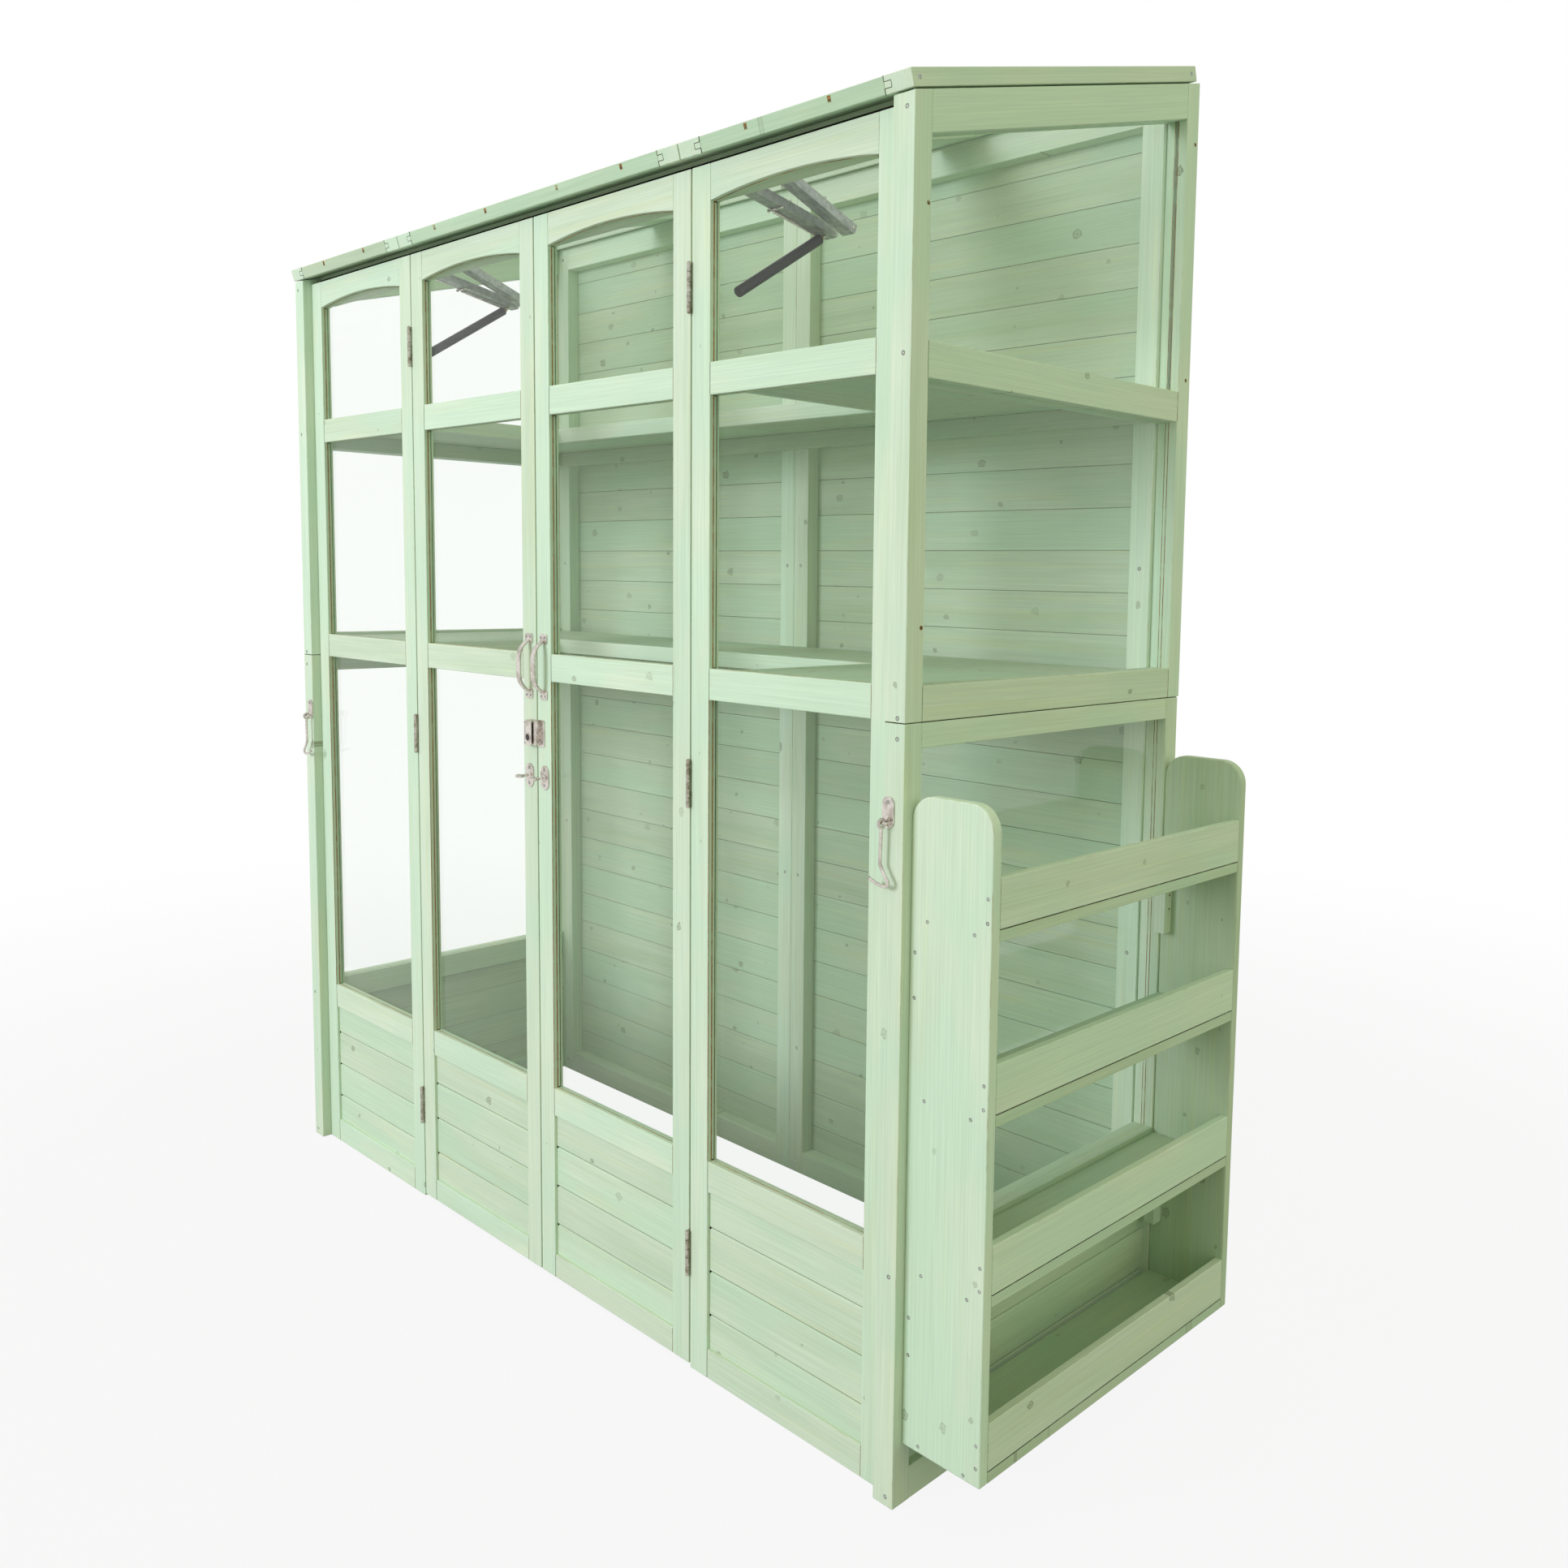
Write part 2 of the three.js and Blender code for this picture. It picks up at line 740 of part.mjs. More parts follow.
// A lock body or keeper beside the gap between the doors, with its outer corners taken off.
function lockPiece(depth) {
  const outline = [
    [-lockInner, 0],
    [-lockInner, -depth],
    [lockCorner - lockOuter, -depth],
    [-lockOuter, lockCorner - depth],
    [-lockOuter, 0],
  ];
  return alongZ(outline, lockBottom, lockTop);
}

// A screwed plate with round ends, on a face at the given y.
function ovalPlate(x, face, z) {
  const radius = eyePlateWidth / 2;
  const offset = eyePlateHeight / 2 - radius;
  const ends = [-offset, offset].map((shift) => {
    return alongY(circle([x, z + shift], radius), face - eyePlateThickness, face);
  });
  return Manifold.hull(ends);
}

function doorEyePlate() {
  const ringRadius = eyeOuterRadius - eyeRod;
  const ringY = eyeOuterRadius - eyeReach;
  const stemStart = [-eyePlateX, -eyePlateThickness / 2, eyePlateZ];
  const stem = rod([stemStart, [-eyePlateX, ringY + ringRadius, eyePlateZ]], eyeRod);
  const loop = ring(
    (angle) => [-eyePlateX, ringY + ringRadius * Math.cos(angle), eyePlateZ + ringRadius * Math.sin(angle)],
    eyeRod,
  );
  return Manifold.union([ovalPlate(-eyePlateX, 0, eyePlateZ), stem, loop]).trimByPlane([0, -1, 0], 0);
}

// Hooks on the posts, made for the right post

const hookPivotY = sideFront - hookPivotOut;

function hookPlate() {
  const out = hookPivotY;
  const staple = rod(
    [
      [hookX - stapleHalfWidth, sideFront - eyePlateThickness / 2, hookPivotZ],
      [hookX - stapleHalfWidth, out, hookPivotZ],
      [hookX + stapleHalfWidth, out, hookPivotZ],
      [hookX + stapleHalfWidth, sideFront - eyePlateThickness / 2, hookPivotZ],
    ],
    stapleRod,
  );
  return ovalPlate(hookX, sideFront, hookPlateZ).add(staple).trimByPlane([0, -1, 0], -sideFront);
}

function hook() {
  const eye = ring(
    (angle) => [
      hookX,
      hookPivotY + hookRingRadius * Math.cos(angle),
      hookPivotZ + hookRingRadius * Math.sin(angle),
    ],
    hookRod,
  );
  const path = hookPath.map(([x, z]) => [hookX + x, hookPivotY, hookPivotZ + z]);
  return eye.add(rod(path, hookRod));
}

// Shelves inside

function shelf(top) {
  const bottom = top - shelfBoard;
  const walkway = box(
    [-shelfInnerX, shelfFront - cutOverrun, bottom - cutOverrun],
    [shelfInnerX, shelfBackRun, top + cutOverrun],
  );
  const boards = box([-sideInner, shelfFront, bottom], [sideInner, backFront, top]).subtract(walkway);
  const battenLow = bottom - battenHeight;
  const pieces = [
    box([-sideInner, shelfFront, battenLow], [battenWidth - sideInner, backFront, bottom]),
    box([sideInner - battenWidth, shelfFront, battenLow], [sideInner, backFront, bottom]),
    box([-sideInner, backFront - battenWidth, battenLow], [sideInner, backFront, bottom]),
    box([-shelfInnerX, shelfFront, top - fasciaHeight], [fasciaThickness - shelfInnerX, shelfBackRun, top]),
    box([shelfInnerX - fasciaThickness, shelfFront, top - fasciaHeight], [shelfInnerX, shelfBackRun, top]),
    box([-shelfInnerX, shelfBackRun - fasciaThickness, top - fasciaHeight], [shelfInnerX, shelfBackRun, top]),
  ];
  return Manifold.union([boards, ...pieces]).subtract(Manifold.union(shelfJoints(top)));
}

// Shallow grooves where the shelf's boards meet.
function shelfJoints(top) {
  const half = shelfJointWidth / 2;
  const low = top - shelfJointDepth;
  const high = top + cutOverrun;
  const cuts = [];
  for (let x = shelfInnerX + shelfBoardPitch; x < sideInner - half; x += shelfBoardPitch) {
    for (const place of [-x, x]) {
      cuts.push(box([place - half, shelfFront - cutOverrun, low], [place + half, shelfBackRun, high]));
    }
  }
  for (let y = shelfBackRun; y < backFront - half; y += shelfBoardPitch) {
    const sides = [[-sideInner, -shelfInnerX], [shelfInnerX, sideInner]];
    const reach = y === shelfBackRun ? sides : [[-sideInner, sideInner]];
    for (const [from, to] of reach) {
      cuts.push(box([from - half, y - half, low], [to + half, y + half, high]));
    }
  }
  return cuts;
}

// Shelf unit on the right side

const unitNear = overallWidth / 2;
const unitFar = unitNear + unitReach;
const unitRear = unitFront + unitLength;

// A side board with both top corners rounded, in (x, z).
function unitSideOutline() {
  const corner = (x, start) =>
    Array.from({ length: unitCornerSteps + 1 }, (_, i) => {
      const angle = start + ((Math.PI / 2) * i) / unitCornerSteps;
      return [x + unitCorner * Math.cos(angle), unitTop - unitCorner + unitCorner * Math.sin(angle)];
    });
  return [
    [unitNear, unitShelfBottoms[0]],
    [unitFar, unitShelfBottoms[0]],
    ...corner(unitFar - unitCorner, 0),
    ...corner(unitNear + unitCorner, Math.PI / 2),
  ];
}

// A side board from y = outer to y = inner, with the cleats that fix it to the greenhouse.
function unitSide(from, to, cleatFrom, cleatTo) {
  const cleats = cleatSpans.map(([low, high]) => {
    return box([unitNear, cleatFrom, low], [unitNear + cleatSize, cleatTo, high]);
  });
  return Manifold.union([alongY(unitSideOutline(), from, to), ...cleats]);
}

function unitShelf(bottom) {
  const low = unitFront + unitBoard;
  const high = unitRear - unitBoard;
  const top = bottom + unitBoard;
  const lip = box([unitFar - lipThickness, low, top], [unitFar, high, top + lipHeight]);
  return box([unitNear, low, bottom], [unitFar, high, bottom + unitBoard]).add(lip);
}

// Materials and the scene

const stainedWood = new THREE.MeshStandardMaterial({ color: 0xb9cdb4, roughness: 0.75, metalness: 0 });
const glazing = new THREE.MeshStandardMaterial({
  color: 0xdfe9e6,
  roughness: 0.12,
  metalness: 0,
  transparent: true,
  opacity: 0.35,
});
const brightSteel = new THREE.MeshStandardMaterial({ color: 0xc9cbcc, roughness: 0.25, metalness: 1 });
const greyAluminium = new THREE.MeshStandardMaterial({ color: 0x9fa2a4, roughness: 0.4, metalness: 1 });

const model = new THREE.Group();

// Adds a solid as a named mesh.
function addPiece(name, solid, material, parent = model) {
  const { numProp, vertProperties, triVerts } = solid.getMesh();
  const geometry = new THREE.BufferGeometry();
  geometry.setAttribute("position", new THREE.BufferAttribute(vertProperties, numProp));
  geometry.setIndex(new THREE.BufferAttribute(triVerts, 1));
  geometry.computeVertexNormals();
  const mesh = new THREE.Mesh(geometry, material);
  mesh.name = name;
  parent.add(mesh);
}

// Adds a piece made for one side, and its mirror image on the other.
function addPair(right, left, solid, material, parent = model) {
  addPiece(right, solid, material, parent);
  addPiece(left, mirrored(solid), material, parent);
}

function addSides() {
  addPair("right_upper_side_frame", "left_upper_side_frame", upperSideFrame(), stainedWood);
  addPair("right_lower_side_frame", "left_lower_side_frame", lowerSideFrame(), stainedWood);
  addPair("right_side_boards", "left_side_boards", sideBoards(), stainedWood);
  addPair("right_upper_side_pane", "left_upper_side_pane", upperSidePane(), glazing);
  addPair("right_lower_side_pane", "left_lower_side_pane", lowerSidePane(), glazing);
}

function addFront() {
  const fixedLow = -2 * leafPitch;
  const fixedHigh = -leafPitch - doorGap / 2;
  const doorLow = -leafPitch + doorGap / 2;
  const doorHigh = -doorGap / 2;
  addPair("left_fixed_leaf_frame", "right_fixed_leaf_frame", leafFrame(fixedLow, fixedHigh, 0), stainedWood);
  addPair("left_fixed_leaf_boards", "right_fixed_leaf_boards", leafBoards(fixedLow, fixedHigh), stainedWood);
  addPair("left_fixed_leaf_pane", "right_fixed_leaf_pane", leafPane(fixedLow, fixedHigh), glazing);
  addPair("left_door_frame", "right_door_frame", leftDoorFrame(), stainedWood);
  addPair("left_door_boards", "right_door_boards", leafBoards(doorLow, doorHigh), stainedWood);
  addPair("left_door_pane", "right_door_pane", leafPane(doorLow, doorHigh), glazing);
  hingeCentres.forEach((centre, i) => {
    addPair(`left_hinge_${i + 1}`, `right_hinge_${i + 1}`, fixedHingeHalf(centre), brightSteel);
  });
  addPair("left_handle", "right_handle", handle(), brightSteel);
  addPair("left_door_eye_plate", "right_door_eye_plate", doorEyePlate(), brightSteel);
  addPiece("lock_case", lockPiece(lockCaseDepth), brightSteel);
  addPiece("lock_keeper", mirrored(lockPiece(lockKeeperDepth)), brightSteel);
  addPair("right_hook_plate", "left_hook_plate", hookPlate(), brightSteel);
  addPair("right_hook", "left_hook", hook(), brightSteel);
}

function addBackAndTop() {
  const brackets = [frameBracket(leftVentArmX), frameBracket(rightVentArmX)];
  const header = alongX(underRoofOutline(headerFront, headerRear, headerBottom), -sideInner, sideInner);
  addPiece("front_top_rail", Manifold.union([header, ...brackets]), stainedWood);
  addPair("right_back_frame", "left_back_frame", rightBackFrame(), stainedWood);
  addPiece("back_boards", backBoards(), stainedWood);
}

function addRoof() {
  const roof = new THREE.Group();
  roof.position.set(0, roofFront, undersideAt(roofFront));
  roof.rotation.x = slope;
  model.add(roof);
  const rightFrame = rightVentFrame().add(ventBracket(rightVentArmX));
  const leftFrame = mirrored(rightVentFrame()).add(ventBracket(leftVentArmX));
  addPiece("right_vent_frame", rightFrame, stainedWood, roof);
  addPiece("left_vent_frame", leftFrame, stainedWood, roof);
  const ventPane = roofPane(leafPitch + ventGap / 2, panelEdges[3]);
  addPair("right_vent_pane", "left_vent_pane", ventPane, glazing, roof);
  const middle = [panelEdges[1] + ventGap / 2, panelEdges[2] - ventGap / 2];
  addPiece("middle_roof_frame", roofFrame(...middle), stainedWood, roof);
  addPiece("middle_roof_pane", roofPane(...middle), glazing, roof);
}

function addOpeners() {
  addPiece("right_opener_vent_arm", ventArm(rightVentArmX), greyAluminium);
  addPiece("left_opener_vent_arm", ventArm(leftVentArmX), greyAluminium);
  addPiece("right_opener_frame_arm", frameArm(rightVentArmX), greyAluminium);
  addPiece("left_opener_frame_arm", frameArm(leftVentArmX), greyAluminium);
}

function addShelves() {
  Object.entries(shelfTops).forEach(([name, top]) => {
    addPiece(`${name}_shelf`, shelf(top), stainedWood);
  });
  const nearInner = unitFront + unitBoard;
  const farInner = unitRear - unitBoard;
  const nearSide = unitSide(unitFront, nearInner, nearInner, nearInner + cleatSize);
  const farSide = unitSide(farInner, unitRear, farInner - cleatSize, farInner);
  addPiece("side_unit_near_board", nearSide, stainedWood);
  addPiece("side_unit_far_board", farSide, stainedWood);
  unitShelfBottoms.forEach((bottom, i) => {
    addPiece(`side_unit_shelf_${i + 1}`, unitShelf(bottom), stainedWood);
  });
}

addSides();
addFront();
addBackAndTop();
addRoof();
addOpeners();
addShelves();

// The origin is the middle of the whole box at ground level.
const bounds = new THREE.Box3().setFromObject(model, true);
const middle = bounds.getCenter(new THREE.Vector3());
model.position.set(-middle.x, -middle.y, -bounds.min.z);

const greenhouse = new THREE.Group();
greenhouse.add(model);

export default greenhouse;
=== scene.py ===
"""Looks of the wooden mini greenhouse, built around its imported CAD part.

Lengths are millimetres in the CAD source's own axes: x = 0 is the middle of the front, y = 0 the
front face of the doors and z = 0 the ground. Piece.make turns them into the frame's metres.
"""

import math
import random

import bmesh
import bpy
import numpy as np
from mathutils import Matrix, Vector


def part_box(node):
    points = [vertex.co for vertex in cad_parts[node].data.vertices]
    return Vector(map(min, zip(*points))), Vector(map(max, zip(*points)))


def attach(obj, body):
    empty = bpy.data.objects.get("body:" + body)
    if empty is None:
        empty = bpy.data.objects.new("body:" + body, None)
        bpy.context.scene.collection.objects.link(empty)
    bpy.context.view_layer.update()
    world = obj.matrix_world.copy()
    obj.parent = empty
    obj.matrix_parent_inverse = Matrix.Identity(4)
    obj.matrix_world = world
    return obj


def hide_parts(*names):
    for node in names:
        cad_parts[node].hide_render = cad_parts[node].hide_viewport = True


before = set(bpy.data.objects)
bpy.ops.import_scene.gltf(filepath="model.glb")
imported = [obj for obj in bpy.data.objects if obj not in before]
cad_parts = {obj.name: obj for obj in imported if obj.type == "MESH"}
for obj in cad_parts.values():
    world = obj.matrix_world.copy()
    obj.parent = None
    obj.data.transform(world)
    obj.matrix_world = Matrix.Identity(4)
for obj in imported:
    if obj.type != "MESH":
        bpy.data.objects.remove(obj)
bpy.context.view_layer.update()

# Overall sizes, as in the CAD source
WIDTH = 1720
DEPTH = 640
FRONT_HEIGHT = 1800
REAR_RISE = 178
SLOPE_CLEARANCE = 0.3
DOOR_GAP = 3
DOOR_LIFT = 5
VENT_GAP = 2

# Side frames
SIDE_THICKNESS = 36
SIDE_STILE = 32
FRONT_PROJECTION = 18
FRAME_JOINT = 1039
FRAME_SEAM = 0.5
JOINT_LINE_INSETS = (1, 0.6, 6)
JOINT_LINE_HEIGHTS = (1038.3, 1039.2)
LOWER_REAR_INSET = 3.5
LOWER_TOP_RAIL = 33
SIDE_RAIL = 46
SLOPING_RAIL = 50
MID_RAIL_DROP = 9
SIDE_RAIL_INSET = 0.3
UPPER_POST_SCREWS = (1783, 1493, 1045)
LOWER_POST_SCREWS = (1019, 316, 13)
POST_SCREW_OFFSET = 5
SIDE_MARKS = ((9, 1674), (9, 1158), (610, 1531), (614, 1885))

# Front leaves
LEAF_THICKNESS = 18
LEAF_STILE = 41
LEAF_TOP = 1795
LEAF_RAIL_INSET = 0.2
BOTTOM_RAIL = 46
KNEE_RAIL = (294, 342)
LOW_BAR = (1038, 1084)
HIGH_BAR = (1475, 1521)
ARCH_SPRING = 1744
ARCH_RISE = 12
ARCH_STEPS = 24

# Glazing and boarding
PANE = 4
PANE_SETBACK = 8
TUCK = 0.4
BOARD = 9
LEAF_BOARD_SETBACK = 5
SIDE_BOARD_SETBACK = 12
BOARD_PITCH = 69
TOP_BOARD = 57
LEAST_BOARD = 25
LEAF_GROOVE = 2.2
WALL_GROOVE = 0.9

# Back wall and front top rail
BACK_THICKNESS = 28
BACK_INSET = 40
BACK_STILE = 39
BACK_TOP_RAIL = 50
BACK_BOARD_DROP = 27
BACK_SEAM = 0.2
BACK_SCREW_DROP = 25
BACK_SCREW_HEIGHTS = (1240, 620, 24)
HEADER_FRONT = 18.5
HEADER_THICKNESS = 30
HEADER_BOTTOM = 1758
HEADER_SCREWS = (-640, -240, 240, 640)
HEADER_SCREW_HEIGHT = 1782
# Near-black strip on the front top rail: painted shadow of the gap under the roof
SHADOW_STRIP_FACES = (18.2, 19.0)
SHADOW_STRIP_HEIGHTS = (1789, 1805.5)

# Roof
ROOF_THICKNESS = 22
ROOF_GAP = 2.5
ROOF_OVERHANG = 2
ROOF_REAR_INSET = 9
ROOF_RAIL = 47
ROOF_FACE_INSET = 0.2
ROOF_END_INSET = 0.25
ROOF_SCREW_INSETS = (13, 14)
MIDDLE_PANEL_GAP = 1
TONGUE = 12
TONGUE_LEVELS = (7, 15)
TONGUE_LINE = 0.5
TONGUE_LINE_PLACES = (-0.1, 1.5)
ROOF_LINE = 0.3
ROOF_LINE_HEIGHTS = (8, 8.8)
STAPLE_MARKS = ((3, 0.08, 12, 20), (2.2, 0.16, 13, 15.2))
STAPLE_DEPTH = 3

# Hinges
DOOR_HINGES = (1629, 911, 185)
HINGE_LENGTH = 72
HINGE_LEAF = 1.2
HINGE_LEAF_PLACES = (-2.5, 15)
HINGE_EASE = 0.3
RIVET = (1.9, 0.5)
RIVET_END = 0.9
KNUCKLES = 5
KNUCKLE = (3, 0.6)
KNUCKLE_SLACK = 0.7
KNUCKLE_RISE = 0.25
PIN_FORWARD = 4.5
VENT_HINGE_INSET = 90
VENT_HINGE_LENGTH = 60
VENT_HINGE_REACH = 24
VENT_PIN_REACH = 3.8
VENT_KNUCKLE = (3.3, 0.4)
VENT_PIN = (1.5, 0.3)
VENT_HINGE_SLACK = 0.4
VENT_HINGE_GAP = 0.3
VENT_HINGE_EASE = 0.2
VENT_LEAF_LEVELS = (-1.1, 0.05)
WALL_LEAF_LEVELS = (-2.5, -1.4)

# Vent openers
VENT_SEAT_X = 436
OPENER_ARM_PITCH = 40
FRAME_PIVOT = (61, 1788)
VENT_PIVOT = (78, 1816)
ELBOW = (250, 1750)
CYLINDER_LOW = (66, 1630)
CYLINDER_HEAD = 24
CYLINDER_RADIUS = 8
ARM_WIDTH = 26
ARM_HEIGHT = 14
ARM_WALL = 1.6
ARM_END = 6
ARM_RIB_X = 5.5
LINK_SHARE = 0.42
LINK_LEVEL = -9
SPRING_COILS = 26
SPRING_RADIUS = 2.4
CHEEK_GAP = 0.5
CHEEK = 2
WALL_PLATE = (1772, 1802)

# Door furniture
HANDLE_X = 22
HANDLE_ENDS = (1015, 1108)
HANDLE_REACH = 21
HANDLE_PAD = (10.5, 8.5, 2.2)
HANDLE_PAD_CORNER = 4.0
HANDLE_SCREWS = (6.0, 2.8)
BOW_SHARES = ((-1.02, 0.06), (-0.93, 0.14), (-0.82, 0.42), (-0.66, 0.76), (-0.42, 0.96), (0, 1.0))
BOW_RADII = (2.8, 5.4)
SMALL_SCREW_RADIUS = 2.4
LOCK = (926, 972)
LOCK_PLATE = 1.6
LOCK_FACE = 11.6
LOCK_BARREL = 15.5
LOCK_BARREL_DROP = 17
CASE_PLATE_X = (-24, -1.8)
CASE_X = (-23.4, -1.7)
CASE_RIM = 1.2
CASE_SCREW_X = -20.5
CASE_SCREW_INSET = 5.5
BOLT_SPOT = (-26.0, -6.0)
BOLT_DROP = 7
KEEPER_PLATE_X = (1.8, 23.0)
KEEPER_X = (1.7, 10.0)
KEEPER_FACE = 8.8
KEEPER_SCREW_X = 16.5
KEYHOLE_RIM = ((0, 7.4), (0.7, 7.4), (1.2, 6.9), (1.2, 6.1), (0.3, 5.8))
KEYHOLE_PLUG = ((0, 5.7), (0.55, 5.7))
KEYHOLE = (-11.5, 15.5)
EYE_X = 23
EYE_Z = 875
EYE_CENTRE_Y = -19.4
EYE_RING = 6.2
EYE_BAR = 2.3
EYE_BOSS = ((0, 5.6), (1.2, 5.4), (2.4, 4.0), (3.0, 2.4))
PLATE_THICKNESS = 2
PLATE_HALF_HEIGHT = 20.5
PLATE_SCREW_RISE = 13
PLATE_SCREW_RADIUS = 3.0
DOOR_PLATE_HALF_WIDTH = 12.0
POST_PLATE_HALF_WIDTH = 10.3
POST_PLATE_X = 834.4
HOOK_X = 832
HOOK_PLATE_Z = 925
HOOK_PIVOT_Z = 912
HOOK_OUT = 11
HOOK_RING = 5.4
HOOK_RING_BAR = 2.2
HOOK_BAR = 2.35
STAPLE_BAR = 1.9
HOOK_PATH = (
    (0, -6.4), (0, -16), (-1, -50), (0, -54), (6, -64), (12, -72),
    (13, -76), (10.5, -79.5), (4, -80), (-9, -77.5), (-20, -73),
)

# Inside shelves and the side unit
SHELF_TOPS = (("lower_shelf", 1080), ("upper_shelf", 1512))
SHELF_BOARD = 16
SHELF_INNER_X = 470
SHELF_BACK_RUN = 350
SHELF_FRONT = 22
SHELF_PITCH = 88
SHELF_GAP = 0.8
SHELF_MIDDLE_GAP = 0.5
FASCIA = 12
FASCIA_HEIGHT = 28
BATTEN_HEIGHT = 30
BATTEN_WIDTH = 20
BATTEN_GAP = 0.1
UNIT_REACH = 133
UNIT_FRONT = -2
UNIT_LENGTH = 608
UNIT_BOARD = 16
UNIT_TOP = 950
UNIT_SHELVES = (86, 318, 550, 782)
UNIT_CORNER = 35
UNIT_CORNER_STEPS = 14
UNIT_SCREWS = ((126, 55), (126, 25), (106, 7), (29, 9))
UNIT_SCREW_RADIUS = 2.6
LIP_HEIGHT = 64
LIP = 12
LIP_GAP = 0.25
LIP_LINE_INSETS = (1, 0.22)
LIP_LINE_RISES = (-0.9, 0.5)
UNIT_SHELF_INSET = 0.3
CLEATS = ((190, 285), (667, 770))
CLEAT = 20
CLEAT_SCREW_X = 9
CLEAT_SCREW_INSET = 22
CLEAT_MARK_DROPS = (18, 42, 64)
CLEAT_MARK_RADIUS = 2.0

# Edges, seams and small marks
BOARD_EASE = 1.2
TONGUED_EASE = 0.3
UNIT_EASE = 2.0
BOARD_SEAM = 0.15
SEAM_LINE = 0.16
SAW_CUT = 0.4
CUT_HEIGHT = 0.3
# Half the size of the dark corner squares, which are painted shade
CORNER_SHADE_HALF = 1.2
FRONT_CUT = (6.1, 7.9)
# Dark strip behind the leaves' glass: painted shade in the reveal
REAR_REVEAL_SHADE = (12.1, 13.3)
CROSS_CUT = (7.0, 7.9)
# Dark squares at the bays' corners: painted shade
CORNER_SHADE_DEPTHS = (6.5, 11.5)
KNEE_BEAD = ((-0.5, -0.06), (0.05, 0.9))
ARCH_BEAD_Y = 7.4
ARCH_BEAD_DROP = 0.15
ARCH_BEAD_RADIUS = 0.55
BARE_END_LINE = (0.25, 0.15)
DARK_END_LINE = (0.15, 0.2)
END_LINE_PLACES = (0.12, 2.0)
END_LINE_INSET = 1
GROOVE_SHADE = 0.2
GROOVE_REACH = 2
PANE_CUT = 1.0
PANE_CUT_GAP = 0.3
SIDE_LINE = 0.2
SIDE_LINE_DEPTHS = (2, 0.22)
SCREW_RADIUS = 3.2
SCREW_RISE = 0.38
MARK_RISE = 0.2

# Light, stage and camera: lamps, floor and nearest distance in metres, focal length and centre in pixels
WORLD_LIGHT = 0.75
WHITE = (1, 1, 1, 1)
WORLD_TONE = (0.97, 1.0, 0.78, 1)
LAMP_SIZE = 2.6
LAMPS = (
    ("key", (-1.4, -6.2, 2.6), (0.0, 0.0, 0.9), 230.0, (1.0, 0.99, 1.2)),
    ("fill", (6.4, 1.0, 2.4), (0.4, 0.0, 0.9), 26.0, (0.9, 1.0, 0.6)),
)
FLOOR_REACH = 14.0
FLOOR_LEVEL = -0.0004
FLOOR_FADE = (1.2, 4.2)
FLOOR_WHITE_SHARE = 0.9
FLOOR_TONES = ((0.34, 0.35, 0.34, 1), (0.36, 0.37, 0.36, 1))
IMAGE = 1932
SENSOR = 36.0
CAMERA_FOCAL = 1667.0
CAMERA_CENTRE = (1116.0, 866.0)
CAMERA_TURN = 0.7449
CAMERA_TILT = 0.0927
CAMERA_ROLL = 0.0166
CAMERA_SPOT = (1993.0, -1246.0, 1221.0)
CAMERA_NEAREST = 0.05

# Places that follow
SIDE_INNER = WIDTH / 2 - SIDE_THICKNESS
SIDE_FRONT = -FRONT_PROJECTION
SIDE_REAR = SIDE_FRONT + DEPTH
SIDE_MID_RAIL = (HIGH_BAR[0] - MID_RAIL_DROP, HIGH_BAR[0] - MID_RAIL_DROP + SIDE_RAIL)
SLOPE = math.atan2(REAR_RISE, DEPTH)
SLOPING_DROP = SLOPING_RAIL / math.cos(SLOPE)
UPPER_OPENING = (SIDE_FRONT + SIDE_STILE, SIDE_REAR - SIDE_STILE)
LOWER_OPENING = (UPPER_OPENING[0], UPPER_OPENING[1] - LOWER_REAR_INSET)
LEAF_PITCH = SIDE_INNER / 2
LEAF_RAILS = (KNEE_RAIL, LOW_BAR, HIGH_BAR)
BACK_FRONT = SIDE_REAR - BACK_INSET
BACK_REAR = BACK_FRONT + BACK_THICKNESS
HEADER_REAR = HEADER_FRONT + HEADER_THICKNESS
ROOF_FRONT = SIDE_FRONT - ROOF_OVERHANG
ROOF_LENGTH = (SIDE_REAR - ROOF_REAR_INSET - ROOF_FRONT) / math.cos(SLOPE)
HOOK_Y = SIDE_FRONT - HOOK_OUT
SIDES = (("right", 1), ("left", -1))

low_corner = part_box("left_lower_side_frame")[0]
SHIFT = np.array([low_corner.x * 1000 + WIDTH / 2, low_corner.y * 1000 - SIDE_FRONT, 0.0])

chance = random.Random(11)


def side_top(y):
    return FRONT_HEIGHT + (y - SIDE_FRONT) * math.tan(SLOPE)


def underside(y):
    return side_top(y) + ROOF_GAP / math.cos(SLOPE)


def seated_top(y):
    return underside(y) - SLOPE_CLEARANCE / math.cos(SLOPE)


ROOF_AXES = Matrix.Translation((0, ROOF_FRONT, underside(ROOF_FRONT))) @ Matrix.Rotation(SLOPE, 4, "X")


# Node graphs: scales and lengths in materials go by the metre


